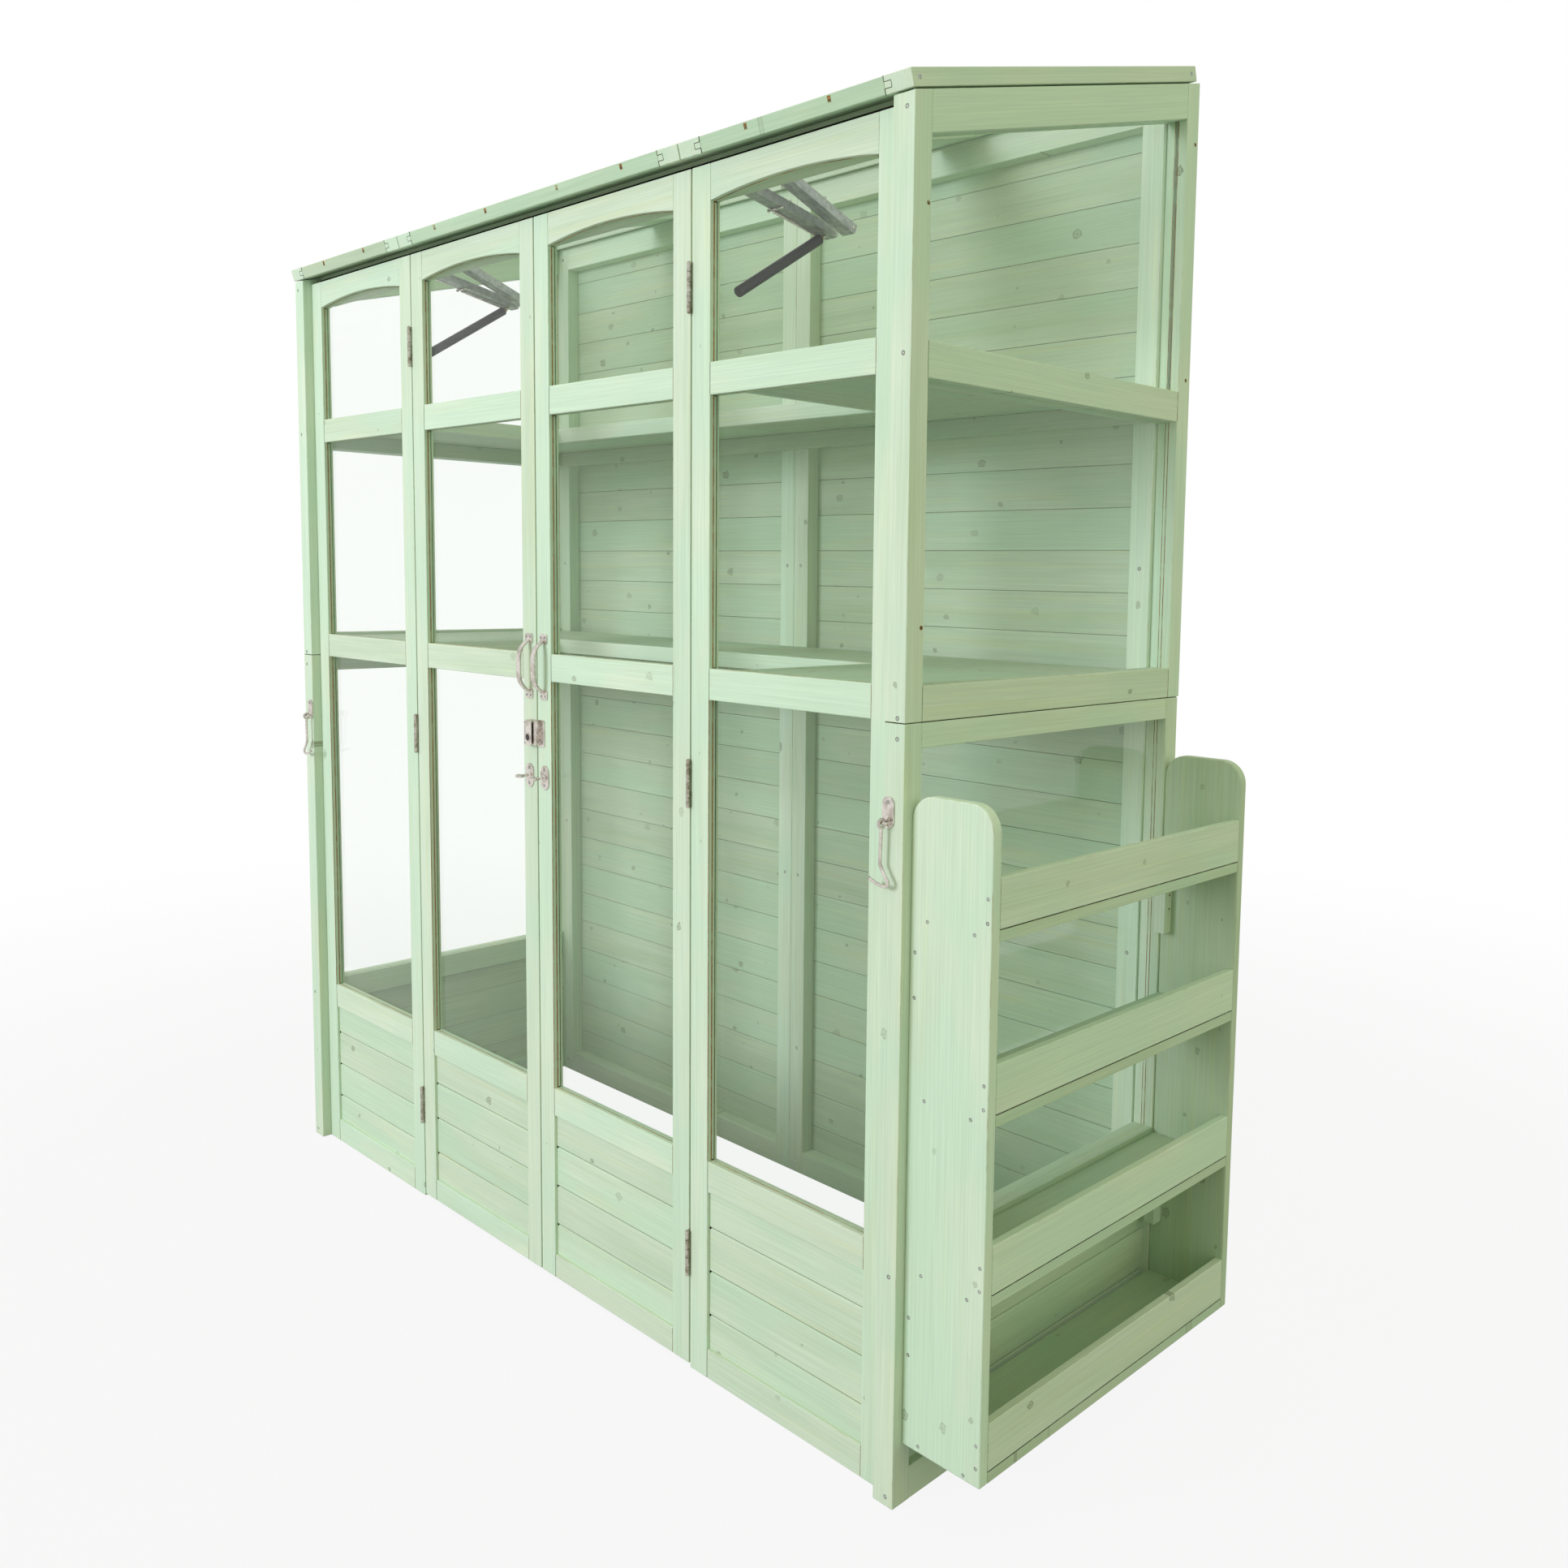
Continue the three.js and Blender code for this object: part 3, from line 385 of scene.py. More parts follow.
class Graph:
    """The node tree of a material or of the world, built by short calls."""

    def __init__(self, owner):
        self.owner = owner
        owner.use_nodes = True
        self.tree = owner.node_tree
        self.tree.nodes.clear()

    def node(self, kind, settings=None, **inputs):
        made = self.tree.nodes.new(kind)
        for key, value in (settings or {}).items():
            setattr(made, key, value)
        for key, value in inputs.items():
            self.feed(made.inputs[key.replace("_", " ")], value)
        return made

    def feed(self, socket, value):
        if isinstance(value, bpy.types.NodeSocket):
            self.tree.links.new(value, socket)
        else:
            socket.default_value = value

    def math(self, operation, *values):
        made = self.node("ShaderNodeMath", {"operation": operation})
        for socket, value in zip(made.inputs, values):
            self.feed(socket, value)
        return made.outputs[0]

    def mix(self, share, first, second, blend="MIX"):
        made = self.node("ShaderNodeMix", {"data_type": "RGBA", "blend_type": blend})
        for place, value in ((0, share), (6, first), (7, second)):
            self.feed(made.inputs[place], value)
        return made.outputs[2]

    def ramp(self, value, low, high, to_low=0.0, to_high=1.0):
        made = self.node("ShaderNodeMapRange", {"interpolation_type": "SMOOTHSTEP"})
        for socket, entry in zip(made.inputs, (value, low, high, to_low, to_high)):
            self.feed(socket, entry)
        return made.outputs[0]

    def scaled(self, vector, factors):
        made = self.node("ShaderNodeVectorMath", {"operation": "MULTIPLY"})
        self.feed(made.inputs[0], vector)
        self.feed(made.inputs[1], factors)
        return made.outputs[0]

    def joined(self, x, y):
        return self.node("ShaderNodeCombineXYZ", X=x, Y=y).outputs[0]

    def hypotenuse(self, x, y):
        squares = self.math("ADD", self.math("POWER", x, 2.0), self.math("POWER", y, 2.0))
        return self.math("SQRT", squares)

    def noise(self, vector, scale, detail=2.0, roughness=0.5):
        made = self.node("ShaderNodeTexNoise", Vector=vector, Scale=scale, Detail=detail, Roughness=roughness)
        return made.outputs["Fac"]

    def stretched(self, vector, factors, detail=2.0, roughness=0.5):
        """Noise drawn out along the vector's axes by the factors."""
        return self.noise(self.scaled(vector, factors), 1.0, detail, roughness)

    def attribute(self, name):
        return self.node("ShaderNodeAttribute", {"attribute_name": name}).outputs

    def bump(self, strength, distance, height):
        return self.node("ShaderNodeBump", Strength=strength, Distance=distance, Height=height).outputs[0]

    def place_on_object(self):
        return self.node("ShaderNodeTexCoord").outputs["Object"]

    def blend(self, share, first, second):
        """One shader that goes over into another by a share."""
        made = self.node("ShaderNodeMixShader", Fac=share)
        self.feed(made.inputs[1], first)
        self.feed(made.inputs[2], second)
        return made.outputs[0]

    def surface(self, shade, roughness, normal, **fixed):
        """A material's finished surface, with the fixed values set on the shader's own sockets."""
        made = self.node("ShaderNodeBsdfPrincipled", Base_Color=shade, Roughness=roughness, Normal=normal)
        for key, value in fixed.items():
            made.inputs[key.replace("_", " ")].default_value = value
        return self.finish(made.outputs[0])

    def finish(self, shader):
        self.node("ShaderNodeOutputMaterial", Surface=shader)
        return self.owner


def linear(value):
    share = value / 255
    return share / 12.92 if value < 11 else ((share + 0.055) / 1.055) ** 2.4


def colour(red, green, blue):
    """A linear colour from 0-255 values as a picture holds them."""
    return (linear(red), linear(green), linear(blue), 1.0)


def knots(g, along, across, existing_share):
    """How much of a knot covers a point, its dark rim and heart, and the pull it has on the grain."""
    cell = (0.18, 0.07)
    place_in_cells = g.joined(g.math("DIVIDE", along, cell[0]), g.math("DIVIDE", across, cell[1]))
    cells = g.node("ShaderNodeTexVoronoi", {"voronoi_dimensions": "2D"}, Vector=place_in_cells, Scale=1.0)
    centre = g.node("ShaderNodeSeparateXYZ", Vector=cells.outputs["Position"])
    draw = g.node("ShaderNodeSeparateColor", Color=cells.outputs["Color"])
    reach_along = g.math("SUBTRACT", along, g.math("MULTIPLY", centre.outputs[0], cell[0]))
    reach_across = g.math("SUBTRACT", across, g.math("MULTIPLY", centre.outputs[1], cell[1]))
    distance = g.hypotenuse(g.math("MULTIPLY", reach_along, 0.8), reach_across)
    contrast = g.ramp(draw.outputs[2], 0.0, 1.0, 0.4, 1.0)
    exists = g.math("MULTIPLY", g.math("LESS_THAN", draw.outputs[0], existing_share), contrast)
    radius = g.math("MULTIPLY_ADD", g.math("POWER", draw.outputs[1], 1.5), 0.0055, 0.002)
    uneven = g.ramp(g.noise(g.joined(along, across), 160.0, 1.0), 0.0, 1.0, 0.55, 1.45)
    share = g.math("MULTIPLY", uneven, g.math("DIVIDE", distance, radius))
    body = g.math("MULTIPLY", g.ramp(share, 1.15, 0.75), exists)
    from_rim = g.math("ABSOLUTE", g.math("SUBTRACT", share, 0.85))
    rim = g.math("MULTIPLY", g.ramp(from_rim, 0.22, 0.0), exists)
    heart = g.math("MULTIPLY", g.ramp(share, 0.35, 0.05), exists)
    pull = g.math("MULTIPLY", g.ramp(share, 4.0, 0.6), g.math("MULTIPLY", exists, 0.011))
    return body, rim, heart, pull


def late_wood(g, grain, across, thick, pull):
    """The share of late wood from rings around the log's heart, which knots pull aside."""
    wander = g.stretched(grain, (1.6, 14.0, 14.0))
    radius = g.math("ADD", g.hypotenuse(across, thick), g.math("MULTIPLY_ADD", wander, 0.016, pull))
    uneven = g.stretched(grain, (0.8, 90.0, 90.0), 1.0)
    ring_count = g.math("MULTIPLY_ADD", uneven, 1.8, g.math("DIVIDE", radius, 0.0046))
    late = g.math("POWER", g.math("FRACT", ring_count), 3.0)
    strength = g.ramp(g.stretched(grain, (2.0, 30.0, 30.0), 1.0), 0.35, 0.7, 0.25, 1.0)
    return g.math("MULTIPLY", late, strength)


def stained_wood(name, knot_share, *tones):
    """Softwood under a thin green stain, from each board's own grain coordinates."""
    light, deep, mint, warm = (colour(*tone) for tone in tones)
    g = Graph(bpy.data.materials.new(name))
    grain = g.attribute("grain")["Vector"]
    tint = g.attribute("tint")["Fac"]
    wear = g.attribute("wear")["Fac"]
    along, across, thick = g.node("ShaderNodeSeparateXYZ", Vector=grain).outputs
    body, rim, heart, pull = knots(g, along, across, knot_share)
    late = late_wood(g, grain, across, thick, pull)
    streaks = g.stretched(grain, (5.0, 420.0, 420.0), 3.0, 0.6)
    broad = g.stretched(grain, (2.2, 22.0, 22.0), 3.0, 0.55)
    cloud = g.stretched(grain, (3.5, 9.0, 9.0), 2.0, 0.6)
    bands = g.stretched(grain, (1.4, 70.0, 70.0), 3.0, 0.6)
    shade = g.mix(g.ramp(bands, 0.5, 0.72, 0.0, 0.6), light, warm)
    shade = g.mix(g.math("MULTIPLY", late, 0.2), shade, deep)
    shade = g.mix(g.ramp(broad, 0.42, 0.72, 0.0, 0.4), shade, deep)
    shade = g.mix(g.ramp(g.math("MULTIPLY_ADD", tint, 0.12, cloud), 0.4, 0.66, 0.0, 0.75), shade, mint)
    streak_light = g.ramp(streaks, 0.3, 0.75, 0.93, 1.05)
    board_light = g.math("MULTIPLY_ADD", tint, 0.045, 1.0)
    shade = g.mix(1.0, shade, g.math("MULTIPLY", streak_light, board_light), "MULTIPLY")
    shade = g.mix(g.math("MULTIPLY", body, 0.42), shade, colour(126, 140, 104))
    shade = g.mix(g.math("MULTIPLY", rim, 0.52), shade, colour(104, 96, 66))
    shade = g.mix(g.math("MULTIPLY", heart, 0.55), shade, colour(92, 84, 62))
    fleck = g.ramp(g.stretched(grain, (22.0, 60.0, 60.0), 3.0, 0.65), 0.5, 0.68)
    bare = g.math("MULTIPLY", g.math("POWER", wear, 2.0), g.math("MULTIPLY", fleck, 0.62))
    shade = g.mix(bare, shade, colour(158, 128, 82))
    relief = g.math("SUBTRACT", g.math("MULTIPLY", streaks, 0.6), g.math("MULTIPLY_ADD", late, 0.5, body))
    rough = g.ramp(streaks, 0.25, 0.75, 0.5, 0.72)
    return g.surface(shade, rough, g.bump(0.3, 0.0005, relief), Specular_IOR_Level=0.35)


def raw_wood(name, light, deep, stain_share=0.7):
    """Bare sawn softwood at saw cuts, holes and joints, with specks of stain; its dark tones also give
    painted shade and painted shadow.
    """
    g = Graph(bpy.data.materials.new(name))
    grain = g.attribute("grain")["Vector"]
    streaks = g.stretched(grain, (30.0, 500.0, 500.0), 3.0, 0.65)
    spots = g.stretched(grain, (18.0, 40.0, 40.0))
    shade = g.mix(g.ramp(streaks, 0.3, 0.7), colour(*light), colour(*deep))
    shade = g.mix(g.ramp(spots, 0.52, 0.62, 0.0, stain_share), shade, colour(176, 190, 150))
    return g.surface(shade, 0.85, g.bump(0.4, 0.0006, streaks))


def clear_glazing(name):
    """Thin clear glass: light passes straight through and the surface mirrors by its angle."""
    g = Graph(bpy.data.materials.new(name))
    place_on = g.place_on_object()
    ripple = g.bump(0.05, 0.01, g.noise(place_on, 6.0))
    through = g.node("ShaderNodeBsdfTransparent", Color=colour(254, 255, 254)).outputs[0]
    mirror = g.node("ShaderNodeBsdfGlossy", Color=WHITE, Roughness=0.02, Normal=ripple).outputs[0]
    facing = g.node("ShaderNodeLayerWeight", Blend=0.5, Normal=ripple).outputs["Facing"]
    angle = g.math("MULTIPLY_ADD", g.math("POWER", facing, 5.0), 0.9, 0.02)
    return g.finish(g.blend(angle, through, mirror))


def metal(name, base, dull, low_rough, high_rough, grain_scale):
    """Plated or milled metal with finger smudges and fine wear."""
    g = Graph(bpy.data.materials.new(name))
    place_on = g.place_on_object()
    smudge = g.noise(place_on, 90.0, 3.0, 0.6)
    brushed = g.stretched(place_on, grain_scale)
    shade = g.mix(g.ramp(smudge, 0.35, 0.7), colour(*base), colour(*dull))
    rough = g.ramp(g.math("MULTIPLY_ADD", brushed, 0.4, smudge), 0.45, 0.95, low_rough, high_rough)
    return g.surface(shade, rough, g.bump(0.08, 0.0002, brushed), Metallic=1.0)


def black_coating(name):
    """Powder-coated tube with a fine orange-peel surface."""
    g = Graph(bpy.data.materials.new(name))
    place_on = g.place_on_object()
    peel = g.noise(place_on, 1400.0)
    scuff = g.noise(place_on, 70.0, 4.0, 0.7)
    shade = g.mix(g.ramp(scuff, 0.5, 0.75), colour(42, 42, 42), colour(74, 73, 70))
    return g.surface(shade, g.ramp(scuff, 0.3, 0.7, 0.42, 0.6), g.bump(0.25, 0.0002, peel))


WOOD = stained_wood("stained_wood", 0.34, (211, 226, 202), (186, 208, 170), (198, 223, 197), (216, 226, 190))
WALL_WOOD = stained_wood(
    "stained_wall", 0.5, (206, 222, 196), (180, 203, 166), (192, 218, 190), (212, 222, 182)
)
# A darker copy of the stain: painted shade on the back wall's boards, the shelves and their battens, the
# rack's shelves and far side, and the roof panels' front rails
SHADED_WOOD = stained_wood(
    "stained_painted_shade", 0.9, (193, 211, 182), (166, 191, 150), (179, 207, 176), (199, 211, 168)
)
BEAD = raw_wood("raw_bead", (190, 138, 78), (112, 82, 44), 0.45)
RAW = raw_wood("raw_wood", (176, 132, 78), (112, 78, 42))
# Dark joint lines between parts; behind the leaves' glass and in the bays' corners the same colour is painted
# shade
DARK_JOINT_AND_SHADE = raw_wood("dark_joint_and_shade", (78, 84, 56), (46, 50, 32), 0.25)
# Near-black wood: painted shadow under the roof's front and in the leaf boards' grooves by the stiles
SHADOW = raw_wood("painted_shadow", (36, 33, 25), (22, 20, 14), 0.0)
GLASS = clear_glazing("glazing")
EVEN = (300.0, 300.0, 300.0)
STEEL = metal("bright_steel", (222, 216, 208), (186, 178, 168), 0.14, 0.34, (400.0, 400.0, 60.0))
ZINC = metal("zinc_screws", (168, 170, 166), (138, 139, 132), 0.3, 0.5, EVEN)
HINGE_METAL = metal("hinge_metal", (196, 193, 182), (140, 130, 110), 0.25, 0.5, (300.0, 300.0, 80.0))
ALUMINIUM = metal("grey_aluminium", (190, 193, 190), (164, 167, 164), 0.36, 0.52, (900.0, 40.0, 40.0))
BRASS = metal("brass_fitting", (214, 186, 128), (180, 150, 92), 0.2, 0.4, EVEN)
BLACK = black_coating("black_coating")


# Shapes: a shape is its points and its outward faces

PRISM_AXES = {
    "x": ((0, 1, 0), (0, 0, 1), (1, 0, 0)),
    "y": ((1, 0, 0), (0, 0, 1), (0, 1, 0)),
    "z": ((1, 0, 0), (0, 1, 0), (0, 0, 1)),
}


def prism(outline, low, high, axis):
    """The shape between two ends along an axis, from its outline in the other two axes."""
    first, second, third = (Vector(v) for v in PRISM_AXES[axis])
    count = len(outline)
    area = sum(a[0] * b[1] - b[0] * a[1] for a, b in zip(outline, outline[1:] + outline[:1]))
    if area * first.cross(second).dot(third) < 0:
        outline = outline[::-1]
    verts = [first * a + second * b + third * end for end in (low, high) for a, b in outline]
    faces = [list(range(count - 1, -1, -1)), list(range(count, 2 * count))]
    faces += [[i, (i + 1) % count, count + (i + 1) % count, count + i] for i in range(count)]
    return verts, faces


def cuboid(low, high):
    outline = [(low[0], low[1]), (high[0], low[1]), (high[0], high[1]), (low[0], high[1])]
    return prism(outline, low[2], high[2], "z")


def rounded_outline(low, high, radius, steps=6):
    """The outline of a rectangle with round corners."""
    left, right = low[0] + radius, high[0] - radius
    bottom, top = low[1] + radius, high[1] - radius
    points = []
    for start, (x, y) in enumerate(((right, top), (left, top), (left, bottom), (right, bottom))):
        for i in range(steps + 1):
            angle = math.pi / 2 * (start + i / steps)
            points.append((x + radius * math.cos(angle), y + radius * math.sin(angle)))
    return points


def softened(shape, radius, segments=2):
    """The closed shape with rounded edges, and 1 for each point in the middle of a rounding."""
    work = bmesh.new()
    made = [work.verts.new(v) for v in shape[0]]
    for face in shape[1]:
        work.faces.new([made[i] for i in face])
    bmesh.ops.recalc_face_normals(work, faces=work.faces)
    sharp = [e for e in work.edges if e.calc_face_angle(0) > math.radians(35)]
    done = bmesh.ops.bevel(
        work, geom=sharp, offset=radius, segments=segments, profile=0.5, affect="EDGES", clamp_overlap=True
    )
    fresh = set(done["faces"])
    work.verts.index_update()
    worn = [float(all(f in fresh for f in v.link_faces)) for v in work.verts]
    result = ([v.co.copy() for v in work.verts], [[v.index for v in f.verts] for f in work.faces]), worn
    work.free()
    return result


def ring_faces(rings, sides, closed=False):
    """Faces between rings of points, and over both ends unless the last ring meets the first."""
    faces = []
    for ring in range(rings if closed else rings - 1):
        a, b = ring * sides, (ring + 1) % rings * sides
        faces += [[a + k, a + (k + 1) % sides, b + (k + 1) % sides, b + k] for k in range(sides)]
    if not closed:
        faces += [list(range(sides))[::-1], [(rings - 1) * sides + k for k in range(sides)]]
    return faces


def frame_of(axis):
    """A unit vector along the axis and two across it."""
    direction = Vector(axis).normalized()
    side = direction.orthogonal().normalized()
    return direction, side, direction.cross(side)


def circle(steps):
    return [2 * math.pi * i / steps for i in range(steps)]


class Piece:
    """Gathers closed shapes, in a space of its own if axes are given, and makes one object of them."""

    def __init__(self, axes=None):
        self.axes = axes
        self.verts, self.faces, self.slots, self.smooth = [], [], [], []
        self.grain, self.tint, self.wear = [], [], []
        self.materials = []

    def slot_of(self, material):
        if material not in self.materials:
            self.materials.append(material)
        return self.materials.index(material)

    def add(self, shape, material, grain=None, tint=0.0, wear=None, smooth=False):
        verts, faces = shape
        start = len(self.verts)
        placed = [self.axes @ Vector(v) if self.axes else Vector(v) for v in verts]
        self.verts += placed
        self.faces += [[start + i for i in face] for face in faces]
        self.slots += [self.slot_of(material)] * len(faces)
        self.smooth += [smooth] * len(faces)
        self.grain += [tuple(v / 1000) for v in placed] if grain is None else list(grain)
        self.tint += [tint] * len(verts)
        self.wear += wear or [0.0] * len(verts)

    def make(self, name, body="root", nodes=(), slot="stained_wood"):
        mesh = bpy.data.meshes.new(name)
        points = (np.array([tuple(v) for v in self.verts]) + SHIFT) / 1000
        mesh.from_pydata(points.tolist(), [], self.faces)
        mesh.polygons.foreach_set("material_index", self.slots)
        mesh.polygons.foreach_set("use_smooth", self.smooth)
        grain = mesh.attributes.new("grain", "FLOAT_VECTOR", "POINT")
        grain.data.foreach_set("vector", np.array(self.grain, float).ravel())
        for label, values in (("tint", self.tint), ("wear", self.wear)):
            layer = mesh.attributes.new(label, "FLOAT", "POINT")
            layer.data.foreach_set("value", np.array(values, float))
        mesh.update()
        made = bpy.data.objects.new(name, mesh)
        bpy.context.scene.collection.objects.link(made)
        for material in self.materials:
            mesh.materials.append(material)
        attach(made, body)
        if nodes:
            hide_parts(*nodes)


def mirrored(piece, side):
    """Turns a piece made for the right side into the left one when side is -1."""
    if side < 0:
        piece.verts = [Vector((-v.x, v.y, v.z)) for v in piece.verts]
        piece.faces = [face[::-1] for face in piece.faces]
    return piece


def board(piece, shape, along, material=WOOD, radius=BOARD_EASE, lean=0.0):
    """Adds one wooden board, with its grain running along the given axis of its own space."""
    eased, worn = softened(shape, radius)
    level = Matrix.Rotation(-lean, 3, "X")
    points = np.array([tuple(level @ Vector(v)) for v in eased[0]])
    spread = points.max(0) - points.min(0)
    order = [along] + sorted((a for a in range(3) if a != along), key=lambda a: -spread[a])
    middle = (points.max(0) + points.min(0)) / 2
    local = (points - middle)[:, order] / 1000
    local[:, 0] += chance.uniform(0, 40)
    local[:, 1] += chance.uniform(-0.03, 0.03)
    local[:, 2] += chance.choice((-1, 1)) * chance.uniform(0.02, 0.09)
    piece.add(eased, material, local, chance.uniform(-1, 1), worn)


def plank(piece, low, high, along, material=WOOD):
    """A square board between its low and high corners."""
    board(piece, cuboid(low, high), along, material)


def strip(piece, low, high, material=RAW):
    """A thin strip of bare wood, or of what its material says."""
    piece.add(cuboid(low, high), material)


def metal_block(piece, shape, radius=0.5, material=STEEL):
    piece.add(softened(shape, radius, 3)[0], material)


def lathe(piece, centre, axis, profile, material=STEEL, sides=32):
    """A turned shape: profile is (distance along the axis, radius), closed at both ends."""
    direction, side, other = frame_of(axis)
    verts = []
    for reach, radius in profile:
        for angle in circle(sides):
            across = side * math.cos(angle) + other * math.sin(angle)
            verts.append(Vector(centre) + direction * reach + across * radius)
    piece.add((verts, ring_faces(len(profile), sides)), material, smooth=True)


def rounded_profile(length, radius, ease):
    """The profile of a cylinder whose two end edges are eased."""
    turns = [math.pi / 2 * i / 3 for i in range(4)]
    start = [(ease * (1 - math.sin(t)), radius - ease * (1 - math.cos(t))) for t in reversed(turns)]
    return [(0, 0.05)] + start + [(length - a, r) for a, r in reversed(start)] + [(length, 0.05)]


def smooth_path(points, steps=6):
    """Points on a smooth curve through the given ones."""
    points = [Vector(p) for p in points]
    padded = [2 * points[0] - points[1]] + points + [2 * points[-1] - points[-2]]
    result = []
    for a, b, c, d in zip(padded, padded[1:], padded[2:], padded[3:]):
        for i in range(steps):
            t = i / steps
            bend = (2 * a - 5 * b + 4 * c - d) * t**2 + (3 * b - a - 3 * c + d) * t**3
            result.append(0.5 * (2 * b + (c - a) * t + bend))
    return result + [points[-1]]


def tube(piece, path, radius, material=STEEL, sides=14, flat=1.0, across=None, closed=False):
    """A bar of round or flattened section along a path."""
    path = [Vector(p) for p in path]
    count = len(path)
    verts = []
    normal = None
    for i, point in enumerate(path):
        before = path[i - 1] if i or closed else point
        after = path[(i + 1) % count] if i < count - 1 or closed else point
        forward = (after - before).normalized()
        guide = Vector(across) if across else normal or forward.orthogonal()
        normal = (guide - forward * forward.dot(guide)).normalized()
        other = forward.cross(normal)
        size = radius(i / (count - 1)) if callable(radius) else radius
        for angle in circle(sides):
            verts.append(point + normal * math.cos(angle) * size + other * math.sin(angle) * size * flat)
    piece.add((verts, ring_faces(count, sides, closed)), material, smooth=True)


def screw(piece, centre, outward, radius=SCREW_RADIUS):
    """A countersunk screw head with a cross recess, standing a hair proud of the face."""
    direction, side, other = frame_of(outward)
    turn = chance.uniform(0, math.pi / 2)
    arm, width = radius * 0.62, radius * 0.2
    corner = math.atan2(width, arm)
    quarters = (0, corner, math.pi / 4, math.pi / 2 - corner)
    angles = [math.pi / 2 * q + a for q in range(4) for a in quarters]

    def cross(angle):
        c, s = max(abs(math.cos(angle)), 1e-6), max(abs(math.sin(angle)), 1e-6)
        return max(min(arm / c, width / s), min(width / c, arm / s))

    heads = [(-0.6, radius), (0.12, radius), (0.3, radius * 0.9)]
    rings = [(rise, [reach] * len(angles)) for rise, reach in heads]
    rings += [(rise, [cross(a) * size for a in angles]) for rise, size in ((SCREW_RISE, 1.0), (-0.5, 0.75))]
    verts = []
    for rise, reaches in rings:
        for angle, reach in zip(angles, reaches):
            across = side * math.cos(angle + turn) + other * math.sin(angle + turn)
            verts.append(Vector(centre) + direction * rise + across * reach)
    piece.add((verts, ring_faces(len(rings), len(angles))), ZINC)


def bore_mark(piece, centre, outward, radius=3.0):
    """A shallow bare-wood plug or pilot hole's rim on a face."""
    sunk = 1.0
    direction = Vector(outward)
    start = Vector(centre) - direction * sunk
    rim = [(0, radius * 0.9), (1.06, radius), (1.12, radius * 0.8), (1.0, radius * 0.35)]
    lathe(piece, start, direction, rim, RAW, 20)
    hole = [(0, radius * 0.5), (sunk, radius * 0.5)]
    lathe(piece, start + direction * MARK_RISE, direction, hole, DARK_JOINT_AND_SHADE, 16)


# Boards between joints


def joint_heights(bottom, top):
    """Where boards meet, from the top down."""
    heights = []
    height = top - TOP_BOARD
    while height - bottom > LEAST_BOARD:
        heights.append(height)
        height -= BOARD_PITCH
    return heights


def boarding(piece, ends, heights, face, behind, axis, groove, material=WALL_WOOD):
    """Horizontal boards along an axis, whose near edges are eased by the groove's depth."""
    bottom, top = heights
    edges = [top] + joint_heights(bottom, top) + [bottom]
    outward = -1 if face < behind else 1
    inner = face - outward * groove
    last = len(edges) - 2
    for i, (upper, lower) in enumerate(zip(edges, edges[1:])):
        start = upper - (BOARD_SEAM if i else 0)
        end = lower + (BOARD_SEAM if i < last else 0)
        outline = [(inner, start), (face, start - groove)] if i else [(face, start)]
        outline += [(face, end + groove), (inner, end)] if i < last else [(face, end)]
        outline += [(behind, end), (behind, start)]
        board(piece, prism(outline, *ends, axis), "xyz".index(axis), material, TONGUED_EASE)
    seat = sorted((inner + outward * 0.3, behind))
    corners = list(zip(ends, seat)) if axis == "x" else list(zip(seat, ends))
    for height in edges[1:-1]:
        strip(piece, (*corners[0], height - SEAM_LINE), (*corners[1], height + SEAM_LINE), DARK_JOINT_AND_SHADE)


# Front leaves


def arch(low, high, grow=0.0):
    """Points along the underside of the arched rail from its low to its high end."""
    half = (high - low) / 2
    middle = (high + low) / 2
    radius = (half * half + ARCH_RISE * ARCH_RISE) / (2 * ARCH_RISE)
    reach = math.asin(half / radius)
    turns = [reach * (2 * i / ARCH_STEPS - 1) for i in range(ARCH_STEPS + 1)]
    top = ARCH_SPRING + ARCH_RISE + grow
    return [(middle + radius * math.sin(t), top - radius * (1 - math.cos(t))) for t in turns]


def leaf_wood(low, high, bottom):
    piece = Piece()
    inner_low, inner_high = low + LEAF_STILE, high - LEAF_STILE
    for start, end in ((low, inner_low), (inner_high, high)):
        plank(piece, (start, 0, bottom), (end, LEAF_THICKNESS, LEAF_TOP), 2)
    front, rear = LEAF_RAIL_INSET, LEAF_THICKNESS - LEAF_RAIL_INSET
    rails = ((bottom, BOTTOM_RAIL), *LEAF_RAILS)
    for rail_low, rail_high in rails:
        plank(piece, (inner_low, front, rail_low), (inner_high, rear, rail_high), 0)
    outline = arch(inner_low, inner_high) + [(inner_high, LEAF_TOP), (inner_low, LEAF_TOP)]
    board(piece, prism(outline, front, rear, "y"), 0)
    saw_cuts_and_shade(piece, inner_low, inner_high)
    rail_ends(piece, inner_low, inner_high, rails)
    return piece


